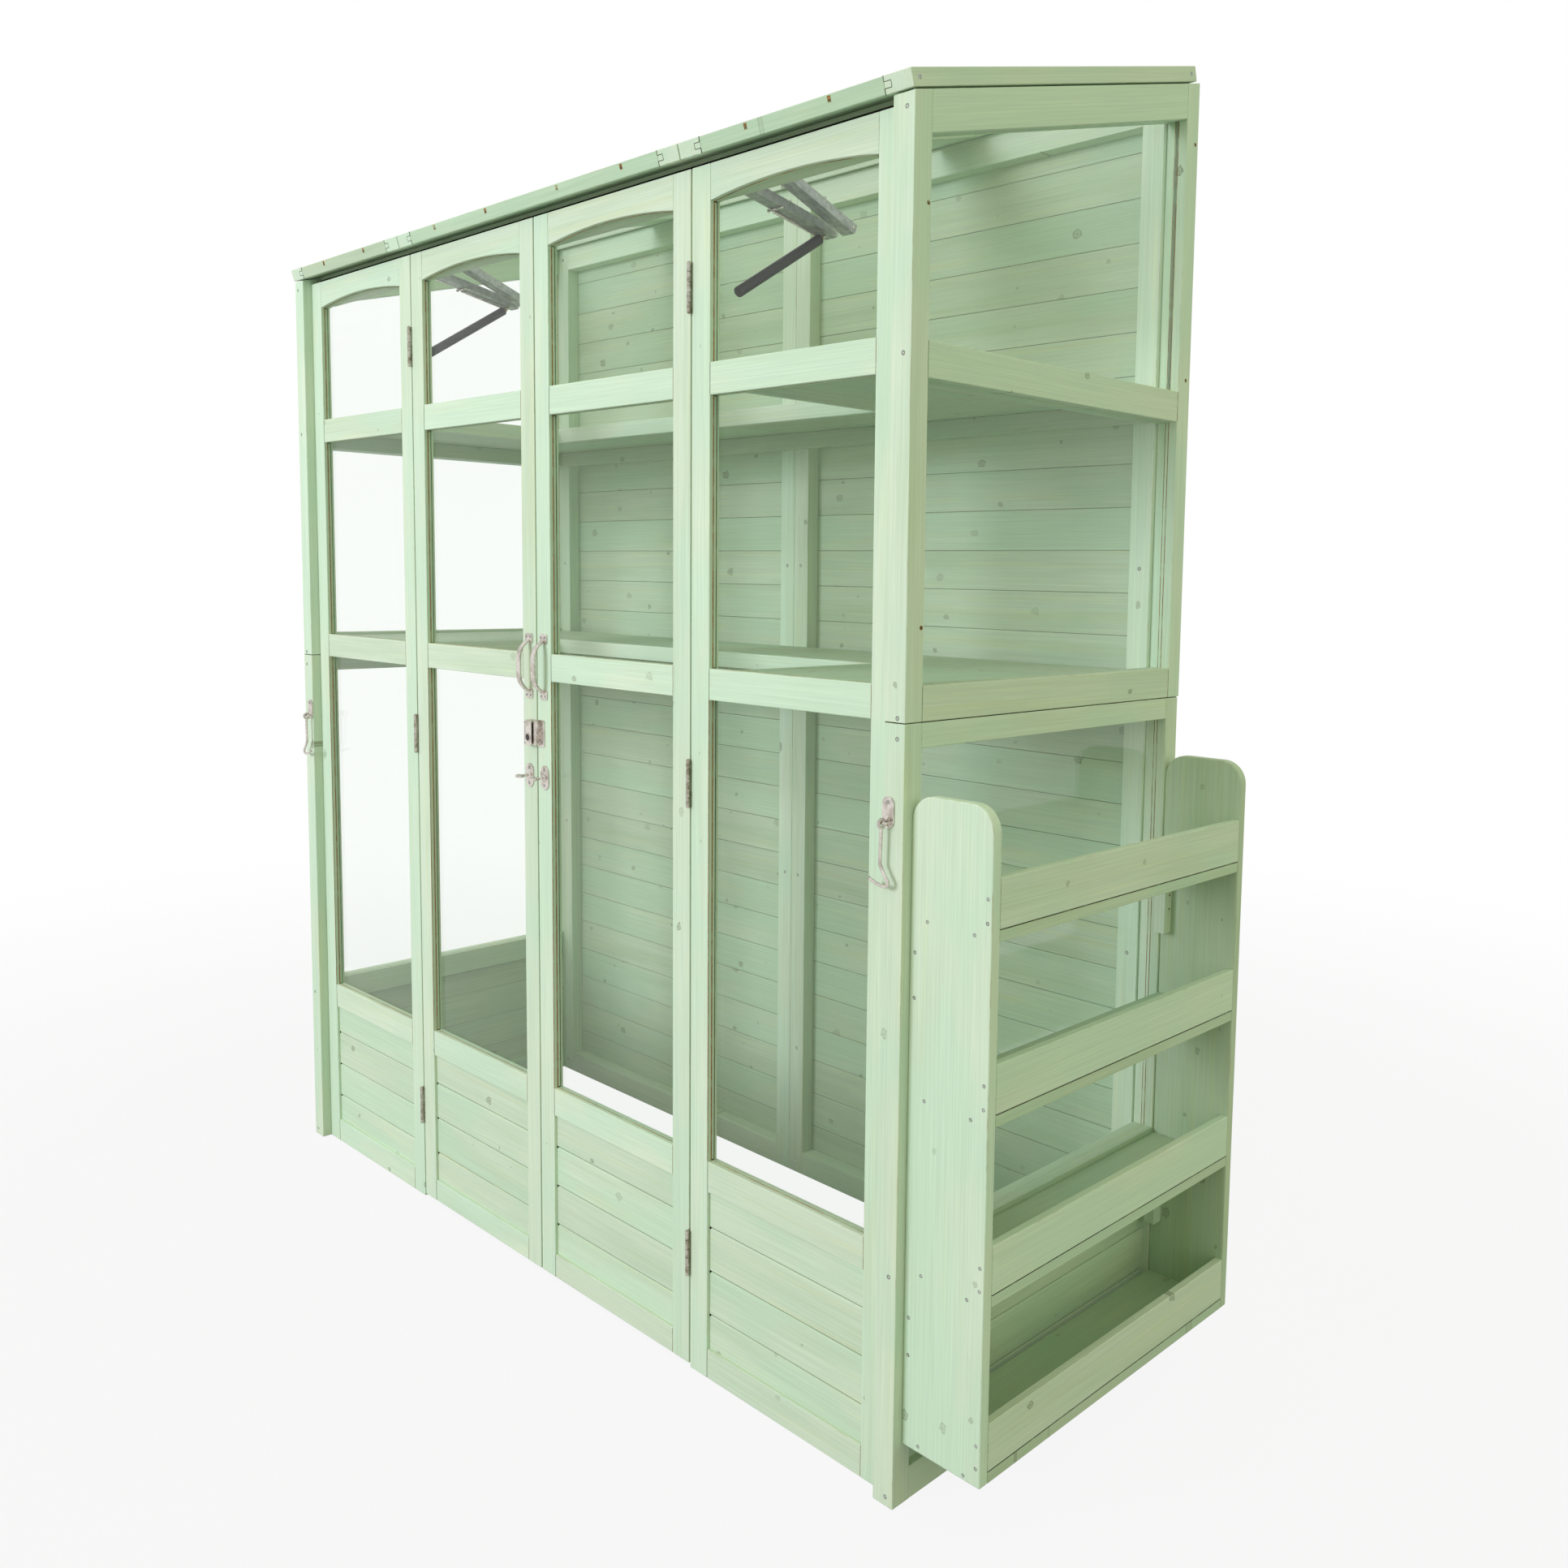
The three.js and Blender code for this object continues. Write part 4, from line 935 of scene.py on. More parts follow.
def saw_cuts_and_shade(piece, low, high):
    """Bare saw cuts beside the glass, a dark strip behind it and dark corners as painted shade, and a thin
    bead under the arch.
    """
    # The rear strip is painted shade in the reveal behind the glass
    edge_strips = ((*FRONT_CUT, BEAD), (*REAR_REVEAL_SHADE, DARK_JOINT_AND_SHADE))
    bays = ((KNEE_RAIL[1], LOW_BAR[0]), (LOW_BAR[1], HIGH_BAR[0]), (HIGH_BAR[1], ARCH_SPRING))
    for bay_low, bay_high in bays:
        for x in (low, high):
            for front, rear, material in edge_strips:
                strip(piece, (x - SAW_CUT, front, bay_low), (x + SAW_CUT, rear, bay_high), material)
            # Dark squares at the bays' corners: painted shade
            for z in (bay_low, bay_high):
                start = (x - CORNER_SHADE_HALF, CORNER_SHADE_DEPTHS[0], z - CORNER_SHADE_HALF)
                strip(piece, start, (x + CORNER_SHADE_HALF, CORNER_SHADE_DEPTHS[1], z + CORNER_SHADE_HALF), DARK_JOINT_AND_SHADE)
        for z, inward in ((bay_low, 1), (bay_high, -1)):
            if z != ARCH_SPRING:
                start, end = sorted((z - inward * SAW_CUT, z + inward * CUT_HEIGHT))
                strip(piece, (low, CROSS_CUT[0], start), (high, CROSS_CUT[1], end))
    (left, front), (right, rear) = KNEE_BEAD
    strip(piece, (low + left, front, KNEE_RAIL[1]), (low + right, rear, LOW_BAR[0]), BEAD)
    bead = [(x, ARCH_BEAD_Y, z) for x, z in arch(low, high, -ARCH_BEAD_DROP)]
    tube(piece, bead, ARCH_BEAD_RADIUS, RAW, 6)


def rail_ends(piece, low, high, rails):
    """Thin lines where the rails meet the stiles: bare on the right, dark on the left."""
    front, rear = END_LINE_PLACES
    for rail_low, rail_high in rails:
        start, end = rail_low + END_LINE_INSET, rail_high - END_LINE_INSET
        for x, (left, right), material in ((high, BARE_END_LINE, RAW), (low, DARK_END_LINE, DARK_JOINT_AND_SHADE)):
            strip(piece, (x - left, front, start), (x + right, rear, end), material)


def leaf_boards(low, high):
    piece = Piece()
    ends = (low + LEAF_STILE, high - LEAF_STILE)
    face = LEAF_BOARD_SETBACK
    boarding(piece, ends, (BOTTOM_RAIL, KNEE_RAIL[0]), face, face + BOARD, "x", LEAF_GROOVE)
    # A near-black patch at each groove's end by the stile: painted shadow in the groove's corner
    for height in joint_heights(BOTTOM_RAIL, KNEE_RAIL[0]):
        start = (ends[0] - GROOVE_SHADE, face + GROOVE_SHADE, height - GROOVE_REACH)
        end = (ends[0] + GROOVE_SHADE + GROOVE_REACH, face + GROOVE_REACH, height + GROOVE_REACH)
        strip(piece, start, end, SHADOW)
    return piece


def leaf_panes(low, high):
    piece = Piece()
    inner_low, inner_high = low + LEAF_STILE - TUCK, high - LEAF_STILE + TUCK
    front, rear = PANE_SETBACK, PANE_SETBACK + PANE
    for bay_low, bay_high in ((KNEE_RAIL[1], LOW_BAR[0]), (LOW_BAR[1], HIGH_BAR[0])):
        piece.add(cuboid((inner_low, front, bay_low - TUCK), (inner_high, rear, bay_high + TUCK)), GLASS)
    foot = HIGH_BAR[1] - TUCK
    outline = [(inner_high, foot), (inner_low, foot)] + arch(inner_low, inner_high, TUCK)
    piece.add(prism(outline, front, rear, "y"), GLASS)
    return piece


def build_leaves():
    half_gap = DOOR_GAP / 2
    leaves = (
        ("left_fixed_leaf", "root", -SIDE_INNER, -LEAF_PITCH - half_gap, 0),
        ("left_door", "left_door", -LEAF_PITCH + half_gap, -half_gap, DOOR_LIFT),
        ("right_door", "right_door", half_gap, LEAF_PITCH - half_gap, DOOR_LIFT),
        ("right_fixed_leaf", "root", LEAF_PITCH + half_gap, SIDE_INNER, 0),
    )
    for name, body, low, high, bottom in leaves:
        leaf_wood(low, high, bottom).make(f"{name}_joinery", body, [f"{name}_frame"])
        leaf_boards(low, high).make(f"{name}_boarding", body, [f"{name}_boards"])
        leaf_panes(low, high).make(f"{name}_glass", body, [f"{name}_pane"], "glazing")


# Side walls


def pane_cuts(piece, middle, y, inward, bays):
    """Bare saw cuts along both faces of a side's glass, where it meets an upright."""
    start, end = sorted((y - inward * SAW_CUT, y + inward * CUT_HEIGHT))
    beside = PANE / 2 + PANE_CUT_GAP
    for x in (middle - beside - PANE_CUT, middle + beside):
        for bay_low, bay_high in bays:
            strip(piece, (x, start, bay_low), (x + PANE_CUT, end, bay_high))


def upper_side():
    piece = Piece()
    low, high = SIDE_INNER, WIDTH / 2 - MARK_RISE
    middle = (low + high) / 2
    front, rear = UPPER_OPENING
    foot = FRAME_JOINT + FRAME_SEAM
    for start, end in ((SIDE_FRONT, front), (rear, SIDE_REAR)):
        outline = [(start, foot), (end, foot), (end, side_top(end)), (start, side_top(start))]
        board(piece, prism(outline, low, high, "x"), 2)
    inset = (low + SIDE_RAIL_INSET, high - SIDE_RAIL_INSET)
    rails = ((foot, FRAME_JOINT + SIDE_RAIL), SIDE_MID_RAIL)
    for rail_low, rail_high in rails:
        plank(piece, (inset[0], front, rail_low), (inset[1], rear, rail_high), 1)
    outline = [(y, side_top(y) - SLOPING_DROP) for y in (front, rear)]
    outline += [(y, side_top(y)) for y in (rear, front)]
    board(piece, prism(outline, *inset, "x"), 1, lean=SLOPE)
    for y, inward in ((front, 1), (rear, -1)):
        bays = ((rails[0][1], SIDE_MID_RAIL[0]), (SIDE_MID_RAIL[1], side_top(y) - SLOPING_DROP))
        pane_cuts(piece, middle, y, inward, bays)
    inner, outer = (high - depth for depth in SIDE_LINE_DEPTHS)
    for rail_low, rail_high in ((FRAME_JOINT, rails[0][1]), SIDE_MID_RAIL):
        start, end = rail_low + END_LINE_INSET, rail_high - END_LINE_INSET
        for y, material in ((front, DARK_JOINT_AND_SHADE), (rear, RAW)):
            strip(piece, (inner, y - SIDE_LINE, start), (outer, y + SIDE_LINE, end), material)
    for z in UPPER_POST_SCREWS:
        screw(piece, (middle + POST_SCREW_OFFSET, SIDE_FRONT, z), (0, -1, 0))
    for y, z in SIDE_MARKS:
        bore_mark(piece, (high, y, z), (1, 0, 0))
    return piece


def lower_side():
    piece = Piece()
    low, high = SIDE_INNER, WIDTH / 2
    middle = (low + high) / 2
    front, rear = LOWER_OPENING
    top = FRAME_JOINT - FRAME_SEAM
    for start, end in ((SIDE_FRONT, front), (rear, rear + SIDE_STILE)):
        plank(piece, (low, start, 0), (high, end, top), 2)
    inset = (low + SIDE_RAIL_INSET, high - SIDE_RAIL_INSET)
    bay_top = FRAME_JOINT - LOWER_TOP_RAIL
    for rail_low, rail_high in ((0, BOTTOM_RAIL), KNEE_RAIL, (bay_top, top)):
        plank(piece, (inset[0], front, rail_low), (inset[1], rear, rail_high), 1)
    for y, inward in ((front, 1), (rear, -1)):
        pane_cuts(piece, middle, y, inward, ((KNEE_RAIL[1], bay_top),))
    across, front_inset, rear_inset = JOINT_LINE_INSETS
    line_low, line_high = JOINT_LINE_HEIGHTS
    start = (low + across, SIDE_FRONT + front_inset, line_low)
    strip(piece, start, (high - across, SIDE_REAR - rear_inset, line_high), DARK_JOINT_AND_SHADE)
    for z in LOWER_POST_SCREWS:
        screw(piece, (middle + POST_SCREW_OFFSET, SIDE_FRONT, z), (0, -1, 0))
    return piece


def side_boards():
    piece = Piece()
    face = WIDTH / 2 - SIDE_BOARD_SETBACK
    boarding(piece, LOWER_OPENING, (BOTTOM_RAIL, KNEE_RAIL[0]), face, face - BOARD, "y", LEAF_GROOVE)
    return piece


def side_glass(opening, bays):
    """Panes from the front and rear of an opening and each bay's heights, as (foot, head) at both ends."""
    piece = Piece()
    middle = (SIDE_INNER + WIDTH / 2) / 2
    front, rear = opening
    for (front_foot, front_head), (rear_foot, rear_head) in bays:
        outline = [(front, front_foot), (rear, rear_foot), (rear, rear_head), (front, front_head)]
        piece.add(prism(outline, middle - PANE / 2, middle + PANE / 2, "x"), GLASS)
    return piece


def upper_glass():
    level = (FRAME_JOINT + SIDE_RAIL, SIDE_MID_RAIL[0])
    sloping = [(SIDE_MID_RAIL[1], side_top(y) - SLOPING_DROP) for y in UPPER_OPENING]
    return side_glass(UPPER_OPENING, ((level, level), sloping))


def lower_glass():
    level = (KNEE_RAIL[1], FRAME_JOINT - LOWER_TOP_RAIL)
    return side_glass(LOWER_OPENING, ((level, level),))


def build_sides():
    parts = (
        (upper_side, "upper_side_joinery", "upper_side_frame", "stained_wood"),
        (lower_side, "lower_side_joinery", "lower_side_frame", "stained_wood"),
        (side_boards, "side_boarding", "side_boards", "stained_wood"),
        (upper_glass, "upper_side_glass", "upper_side_pane", "glazing"),
        (lower_glass, "lower_side_glass", "lower_side_pane", "glazing"),
    )
    for word, side in SIDES:
        for piece_of, name, node, slot in parts:
            mirrored(piece_of(), side).make(f"{word}_{name}", "root", [f"{word}_{node}"], slot)


# Back wall and front top rail


def back_frame():
    piece = Piece()
    head = [(BACK_REAR, seated_top(BACK_REAR)), (BACK_FRONT, seated_top(BACK_FRONT))]
    for low, high in ((BACK_SEAM, BACK_STILE), (SIDE_INNER - BACK_STILE, SIDE_INNER - BACK_SEAM)):
        board(piece, prism([(BACK_FRONT, 0), (BACK_REAR, 0), *head], low, high, "x"), 2)
    low, high = BACK_STILE, SIDE_INNER - BACK_STILE
    top = seated_top(BACK_FRONT)
    foot = top - BACK_TOP_RAIL
    board(piece, prism([(BACK_FRONT, foot), (BACK_REAR, foot), *head], low, high, "x"), 0)
    plank(piece, (low, BACK_FRONT, 0), (high, BACK_REAR, BOTTOM_RAIL), 0)
    for x in (BACK_STILE / 2, SIDE_INNER - BACK_STILE / 2):
        for z in (top - BACK_SCREW_DROP, *BACK_SCREW_HEIGHTS):
            screw(piece, (x, BACK_FRONT, z), (0, -1, 0))
    return piece


def back_boards():
    piece = Piece()
    heights = (0, side_top(BACK_REAR) - BACK_BOARD_DROP)
    ends = (-SIDE_INNER, SIDE_INNER)
    # The back wall's boards are in the darker copy of the stain: painted shade
    boarding(piece, ends, heights, BACK_REAR, BACK_REAR + BOARD, "x", WALL_GROOVE, SHADED_WOOD)
    return piece


def front_top_rail():
    """The rail behind the leaves' heads, with a near-black strip on its front as painted shadow of the gap
    under the roof.
    """
    piece = Piece()
    outline = [(y, HEADER_BOTTOM) for y in (HEADER_FRONT, HEADER_REAR)]
    outline += [(y, seated_top(y)) for y in (HEADER_REAR, HEADER_FRONT)]
    board(piece, prism(outline, -SIDE_INNER, SIDE_INNER, "x"), 0)
    # Near-black strip: painted shadow of the gap between the leaves' heads and the roof
    (front, rear), (low, high) = SHADOW_STRIP_FACES, SHADOW_STRIP_HEIGHTS
    strip(piece, (1 - SIDE_INNER, front, low), (SIDE_INNER - 1, rear, high), SHADOW)
    for x in HEADER_SCREWS:
        screw(piece, (x, HEADER_REAR, HEADER_SCREW_HEIGHT), (0, 1, 0))
    return piece


def build_back():
    for word, side in SIDES:
        mirrored(back_frame(), side).make(f"{word}_back_joinery", "root", [f"{word}_back_frame"])
    back_boards().make("back_boarding", "root", ["back_boards"])
    front_top_rail().make("front_top_rail_board", "root", ["front_top_rail"])


# Roof


def roof_panel(low, high, marks):
    """One glazed panel: stiles run through and the rails' tongues show in the front edge."""
    piece = Piece(ROOF_AXES)
    inner_low, inner_high = low + ROOF_RAIL, high - ROOF_RAIL
    edge = WIDTH / 2 - SCREW_RISE
    for start, end in ((max(low, -edge), inner_low), (inner_high, min(high, edge))):
        plank(piece, (start, 0, 0), (end, ROOF_LENGTH, ROOF_THICKNESS), 1)
    bottom, top = ROOF_FACE_INSET, ROOF_THICKNESS - ROOF_FACE_INSET
    far = ROOF_LENGTH - ROOF_RAIL
    # The front rail is in the darker copy of the stain: painted shade
    plank(piece, (inner_low, ROOF_END_INSET, bottom), (inner_high, ROOF_RAIL, top), 0, SHADED_WOOD)
    plank(piece, (inner_low, far, bottom), (inner_high, ROOF_LENGTH - ROOF_END_INSET, top), 0)
    for joint, outward in ((inner_low, -1), (inner_high, 1)):
        bridle_line(piece, joint, outward)
        low_line, high_line = ROOF_LINE_HEIGHTS
        strip(piece, (joint - ROOF_LINE, ROOF_RAIL, low_line), (joint + ROOF_LINE, far, high_line))
    for x, outward in ((high, 1), (low, -1)):
        if abs(x) == WIDTH / 2:
            for y in (ROOF_SCREW_INSETS[0], ROOF_LENGTH - ROOF_SCREW_INSETS[1]):
                screw(piece, (edge * outward, y, ROOF_THICKNESS / 2), (outward, 0, 0))
    for x in marks:
        for (half, rise, foot, head), material in zip(STAPLE_MARKS, (RAW, DARK_JOINT_AND_SHADE)):
            strip(piece, (x - half, -rise, foot), (x + half, STAPLE_DEPTH, head), material)
    return piece


def bridle_line(piece, edge, outward):
    """The dark stepped line where a rail's tongue enters a stile, seen in the front edge."""
    tip = edge + TONGUE * outward
    start, end = sorted((edge, tip))
    low, high = TONGUE_LEVELS
    width = TONGUE_LINE
    lines = (
        (edge - width, edge + width, 0, low),
        (edge - width, edge + width, high, ROOF_THICKNESS),
        (tip - width, tip + width, low, high),
        (start, end, low - width, low + width),
        (start, end, high - width, high + width),
    )
    for left, right, bottom, top in lines:
        front, rear = TONGUE_LINE_PLACES
        strip(piece, (left, front, bottom), (right, rear, top), DARK_JOINT_AND_SHADE)


def roof_glass(low, high):
    piece = Piece(ROOF_AXES)
    bottom = (ROOF_THICKNESS - PANE) / 2
    far_corner = (high - ROOF_RAIL, ROOF_LENGTH - ROOF_RAIL, bottom + PANE)
    piece.add(cuboid((low + ROOF_RAIL, ROOF_RAIL, bottom), far_corner), GLASS)
    return piece


def vent_hinges(side, moving):
    """The vent's own hinge halves, or the back wall's."""
    piece = Piece(ROOF_AXES)
    third = VENT_HINGE_LENGTH / 3
    slack = VENT_HINGE_SLACK
    if moving:
        bottom, top = VENT_LEAF_LEVELS
        turned = ((third, third, VENT_KNUCKLE, 28),)
    else:
        bottom, top = WALL_LEAF_LEVELS
        pin = (-slack, VENT_HINGE_LENGTH + 2 * slack, VENT_PIN, 16)
        turned = ((0, third - slack, VENT_KNUCKLE, 28), (2 * third, third - slack, VENT_KNUCKLE, 28), pin)
    for centre in (LEAF_PITCH + VENT_HINGE_INSET, WIDTH / 2 - VENT_HINGE_INSET):
        start = centre - VENT_HINGE_LENGTH / 2
        low_corner = (start, ROOF_LENGTH - VENT_HINGE_REACH, bottom)
        high_corner = (start + VENT_HINGE_LENGTH, ROOF_LENGTH - VENT_HINGE_GAP, top)
        metal_block(piece, cuboid(low_corner, high_corner), VENT_HINGE_EASE)
        for offset, length, section, sides in turned:
            place = (start + offset, ROOF_LENGTH + VENT_PIN_REACH, -ROOF_GAP / 2)
            lathe(piece, place, (1, 0, 0), rounded_profile(length, *section), sides=sides)
    return mirrored(piece, side)


def build_roof():
    low, high = LEAF_PITCH + VENT_GAP / 2, WIDTH / 2
    half = LEAF_PITCH - MIDDLE_PANEL_GAP
    panels = (
        ("right_vent", "right_vent", low, high, (557, 718)),
        ("left_vent", "left_vent", -high, -low, (-713, -545)),
        ("middle_roof", "root", -half, half, (-276, -106, 106, 276)),
    )
    for name, body, start, end, marks in panels:
        roof_panel(start, end, marks).make(f"{name}_joinery", body, [f"{name}_frame"])
    for name, body, start, end, _ in panels:
        roof_glass(start, end).make(f"{name}_glass", body, [f"{name}_pane"], "glazing")
    for word, side in SIDES:
        vent_hinges(side, True).make(f"{word}_vent_hinge_halves", f"{word}_vent", [], "bright_steel")
        vent_hinges(side, False).make(f"{word}_wall_hinge_halves", "root", [], "bright_steel")


# Shelves inside


def shelf_boards(piece, bottom, top):
    """Boards that run from front to back at both ends, and along the back wall."""
    half_gap = SHELF_GAP / 2
    edges = [SHELF_INNER_X + FASCIA]
    while edges[-1] < SIDE_INNER - 1:
        edges.append(min(SIDE_INNER, SHELF_INNER_X + SHELF_PITCH * len(edges)))
    # All shelf boards are in the darker copy of the stain: painted shade
    for side in (-1, 1):
        for start, end in zip(edges, edges[1:]):
            low, high = sorted((side * (start + half_gap), side * (end - half_gap)))
            far_corner = (high, SHELF_BACK_RUN - half_gap, top)
            plank(piece, (low, SHELF_FRONT, bottom), far_corner, 1, SHADED_WOOD)
    edges = [SHELF_BACK_RUN]
    while edges[-1] < BACK_FRONT - 1:
        edges.append(min(BACK_FRONT, edges[-1] + SHELF_PITCH))
    for start, end in zip(edges, edges[1:]):
        for low, high in ((-SIDE_INNER, -SHELF_MIDDLE_GAP), (SHELF_MIDDLE_GAP, SIDE_INNER)):
            plank(piece, (low, start + half_gap, bottom), (high, end - half_gap, top), 0, SHADED_WOOD)


def shelf(top):
    """The boards, their edging towards the middle and the battens below them."""
    piece = Piece()
    bottom = top - SHELF_BOARD
    shelf_boards(piece, bottom, top)
    inner = SHELF_INNER_X - FASCIA
    low = top - FASCIA_HEIGHT
    for start, end in ((-SHELF_INNER_X, -inner), (inner, SHELF_INNER_X)):
        plank(piece, (start, SHELF_FRONT, low), (end, SHELF_BACK_RUN, top), 1)
    plank(piece, (-inner, SHELF_BACK_RUN - FASCIA, low), (inner, SHELF_BACK_RUN, top), 0)
    inner, back = SIDE_INNER - BATTEN_WIDTH, BACK_FRONT - BATTEN_WIDTH
    low, high = bottom - BATTEN_HEIGHT, bottom - BATTEN_GAP
    # The battens are in the darker copy of the stain: painted shade
    for start, end in ((-SIDE_INNER, -inner), (inner, SIDE_INNER)):
        plank(piece, (start, SHELF_FRONT, low), (end, back, high), 1, SHADED_WOOD)
    plank(piece, (-SIDE_INNER, back, low), (SIDE_INNER, BACK_FRONT, high), 0, SHADED_WOOD)
    return piece


def build_shelves():
    for name, top in SHELF_TOPS:
        shelf(top).make(f"{name}_boards", "root", [name])


# Side unit


def unit_side(face, outward, material):
    """A side board of the rack and its cleats, from its outer face and the way that looks along y."""
    piece = Piece()
    near, far = WIDTH / 2, WIDTH / 2 + UNIT_REACH
    inner = face - outward * UNIT_BOARD
    cleat_low, cleat_high = sorted((inner, inner - outward * CLEAT))
    turns = [math.pi / 2 * i / UNIT_CORNER_STEPS for i in range(UNIT_CORNER_STEPS + 1)]
    corner = [(UNIT_CORNER * math.cos(t), UNIT_CORNER * math.sin(t)) for t in turns]
    level = UNIT_TOP - UNIT_CORNER
    outline = [(near, UNIT_SHELVES[0]), (far, UNIT_SHELVES[0])]
    outline += [(far - UNIT_CORNER + a, level + b) for a, b in corner]
    outline += [(near + UNIT_CORNER - a, level + b) for a, b in reversed(corner)]
    board(piece, prism(outline, *sorted((face, inner)), "y"), 2, material, UNIT_EASE)
    for bottom, top in CLEATS:
        plank(piece, (near, cleat_low, bottom), (near + CLEAT, cleat_high, top), 2)
    direction = (0, outward, 0)
    for bottom in UNIT_SHELVES:
        for x, rise in UNIT_SCREWS:
            screw(piece, (near + x, face, bottom + rise), direction, UNIT_SCREW_RADIUS)
    for bottom, top in CLEATS:
        for z in (bottom + CLEAT_SCREW_INSET, top - CLEAT_SCREW_INSET):
            screw(piece, (near + CLEAT_SCREW_X, face, z), direction, UNIT_SCREW_RADIUS)
        for drop in CLEAT_MARK_DROPS:
            mark_y = (cleat_low + cleat_high) / 2 + 3
            bore_mark(piece, (near + CLEAT, mark_y, top - drop), (1, 0, 0), CLEAT_MARK_RADIUS)
    return piece


def unit_shelf(bottom):
    piece = Piece()
    near, far = WIDTH / 2, WIDTH / 2 + UNIT_REACH
    low, high = UNIT_FRONT + UNIT_BOARD, UNIT_FRONT + UNIT_LENGTH - UNIT_BOARD
    top = bottom + UNIT_BOARD
    # The shelf board is in the darker copy of the stain, as painted shade; the lip is not
    plank(piece, (near, low, bottom), (far - UNIT_SHELF_INSET, high, top), 1, SHADED_WOOD)
    plank(piece, (far - LIP, low, top + LIP_GAP), (far, high, top + LIP_HEIGHT), 1)
    end_inset, face_inset = LIP_LINE_INSETS
    line_low, line_high = (top + rise for rise in LIP_LINE_RISES)
    start = (far - LIP, low + end_inset, line_low)
    strip(piece, start, (far - face_inset, high - end_inset, line_high), DARK_JOINT_AND_SHADE)
    return piece


def build_side_unit():
    near = unit_side(UNIT_FRONT, -1, WOOD)
    near.make("side_unit_near_side", "root", ["side_unit_near_board"])
    # The far side is in the darker copy of the stain: painted shade
    far = unit_side(UNIT_FRONT + UNIT_LENGTH, 1, SHADED_WOOD)
    far.make("side_unit_far_side", "root", ["side_unit_far_board"])
    for i, bottom in enumerate(UNIT_SHELVES, 1):
        unit_shelf(bottom).make(f"side_unit_shelf_boards_{i}", "root", [f"side_unit_shelf_{i}"])


# Door hinges, handles, lock and eyes


def rounded_block(piece, low, high, corner, front, back, ease):
    """A metal block from its rectangle with round corners on the door's face, and its depth."""
    metal_block(piece, prism(rounded_outline(low, high, corner), front, back, "y"), ease)


def door_hinge(centre, side, moving):
    piece = Piece()
    length = HINGE_LENGTH / KNUCKLES
    start = centre - HINGE_LENGTH / 2
    pin = (LEAF_PITCH, -PIN_FORWARD)
    knuckle = rounded_profile(length - KNUCKLE_SLACK, *KNUCKLE)
    for i in range(1 if moving else 0, KNUCKLES, 2):
        lathe(piece, (*pin, start + i * length + KNUCKLE_RISE), (0, 0, 1), knuckle, HINGE_METAL)
    edge = LEAF_PITCH + (-DOOR_GAP / 2 if moving else DOOR_GAP / 2 - HINGE_LEAF)
    front, rear = HINGE_LEAF_PLACES
    leaf = cuboid((edge, front, start), (edge + HINGE_LEAF, rear, start + HINGE_LENGTH))
    metal_block(piece, leaf, HINGE_EASE, HINGE_METAL)
    if not moving:
        rivet = rounded_profile(HINGE_LENGTH + 2 * RIVET_END, *RIVET)
        lathe(piece, (*pin, start - RIVET_END), (0, 0, 1), rivet, HINGE_METAL, 20)
    return mirrored(piece, side)


def handle():
    """A bow handle with two screwed feet, for the left door."""
    piece = Piece()
    low, high = HANDLE_ENDS
    middle, half = (low + high) / 2, (high - low) / 2
    width, height, depth = HANDLE_PAD
    for z, away in ((low, -1), (high, 1)):
        low_corner = (-HANDLE_X - width, z - height)
        high_corner = (-HANDLE_X + width, z + height)
        rounded_block(piece, low_corner, high_corner, HANDLE_PAD_CORNER, -depth, 0, 0.6)
        screw_x, screw_z = HANDLE_SCREWS
        for x in (-HANDLE_X - screw_x, -HANDLE_X + screw_x):
            screw(piece, (x, -depth, z + away * screw_z), (0, -1, 0), SMALL_SCREW_RADIUS)
    shape = BOW_SHARES + tuple((-along, out) for along, out in reversed(BOW_SHARES[:-1]))
    points = [(-HANDLE_X, -HANDLE_REACH * out, middle + half * along) for along, out in shape]

    def swell(share):
        thin, thick = BOW_RADII
        return thin + (thick - thin) * math.sin(math.pi * share) ** 1.5

    tube(piece, smooth_path(points, 8), swell, STEEL, 20, 0.72, (1, 0, 0))
    return piece


def lock_case():
    """The lock on the left door: plate, case, keyhole, bolt and the outer half of the barrel."""
    piece = Piece()
    low, high = LOCK
    (left, right), (case_left, case_right) = CASE_PLATE_X, CASE_X
    rounded_block(piece, (left, low), (right, high), 3.5, -LOCK_PLATE, 0, 0.5)
    case_low, case_high = (case_left, low + CASE_RIM), (case_right, high - CASE_RIM)
    rounded_block(piece, case_low, case_high, 4.0, -LOCK_FACE, -CASE_RIM, CASE_RIM)
    hole = (KEYHOLE[0], 0.4 - LOCK_FACE, low + KEYHOLE[1])
    lathe(piece, hole, (0, -1, 0), KEYHOLE_RIM)
    lathe(piece, hole, (0, -1, 0), KEYHOLE_PLUG, BLACK)
    lathe(piece, (*BOLT_SPOT, high - BOLT_DROP), (1, 0, 0), rounded_profile(6.0, 3.2, 1.0), sides=20)
    barrel = rounded_profile(LOCK_BARREL, 4.4, 1.6)
    lathe(piece, (-6.2, -9.5, high - LOCK_BARREL_DROP), (0, 0, 1), barrel)
    for z in (high - CASE_SCREW_INSET, low + CASE_SCREW_INSET):
        screw(piece, (CASE_SCREW_X, -LOCK_FACE, z), (0, -1, 0), 1.6)
    return piece


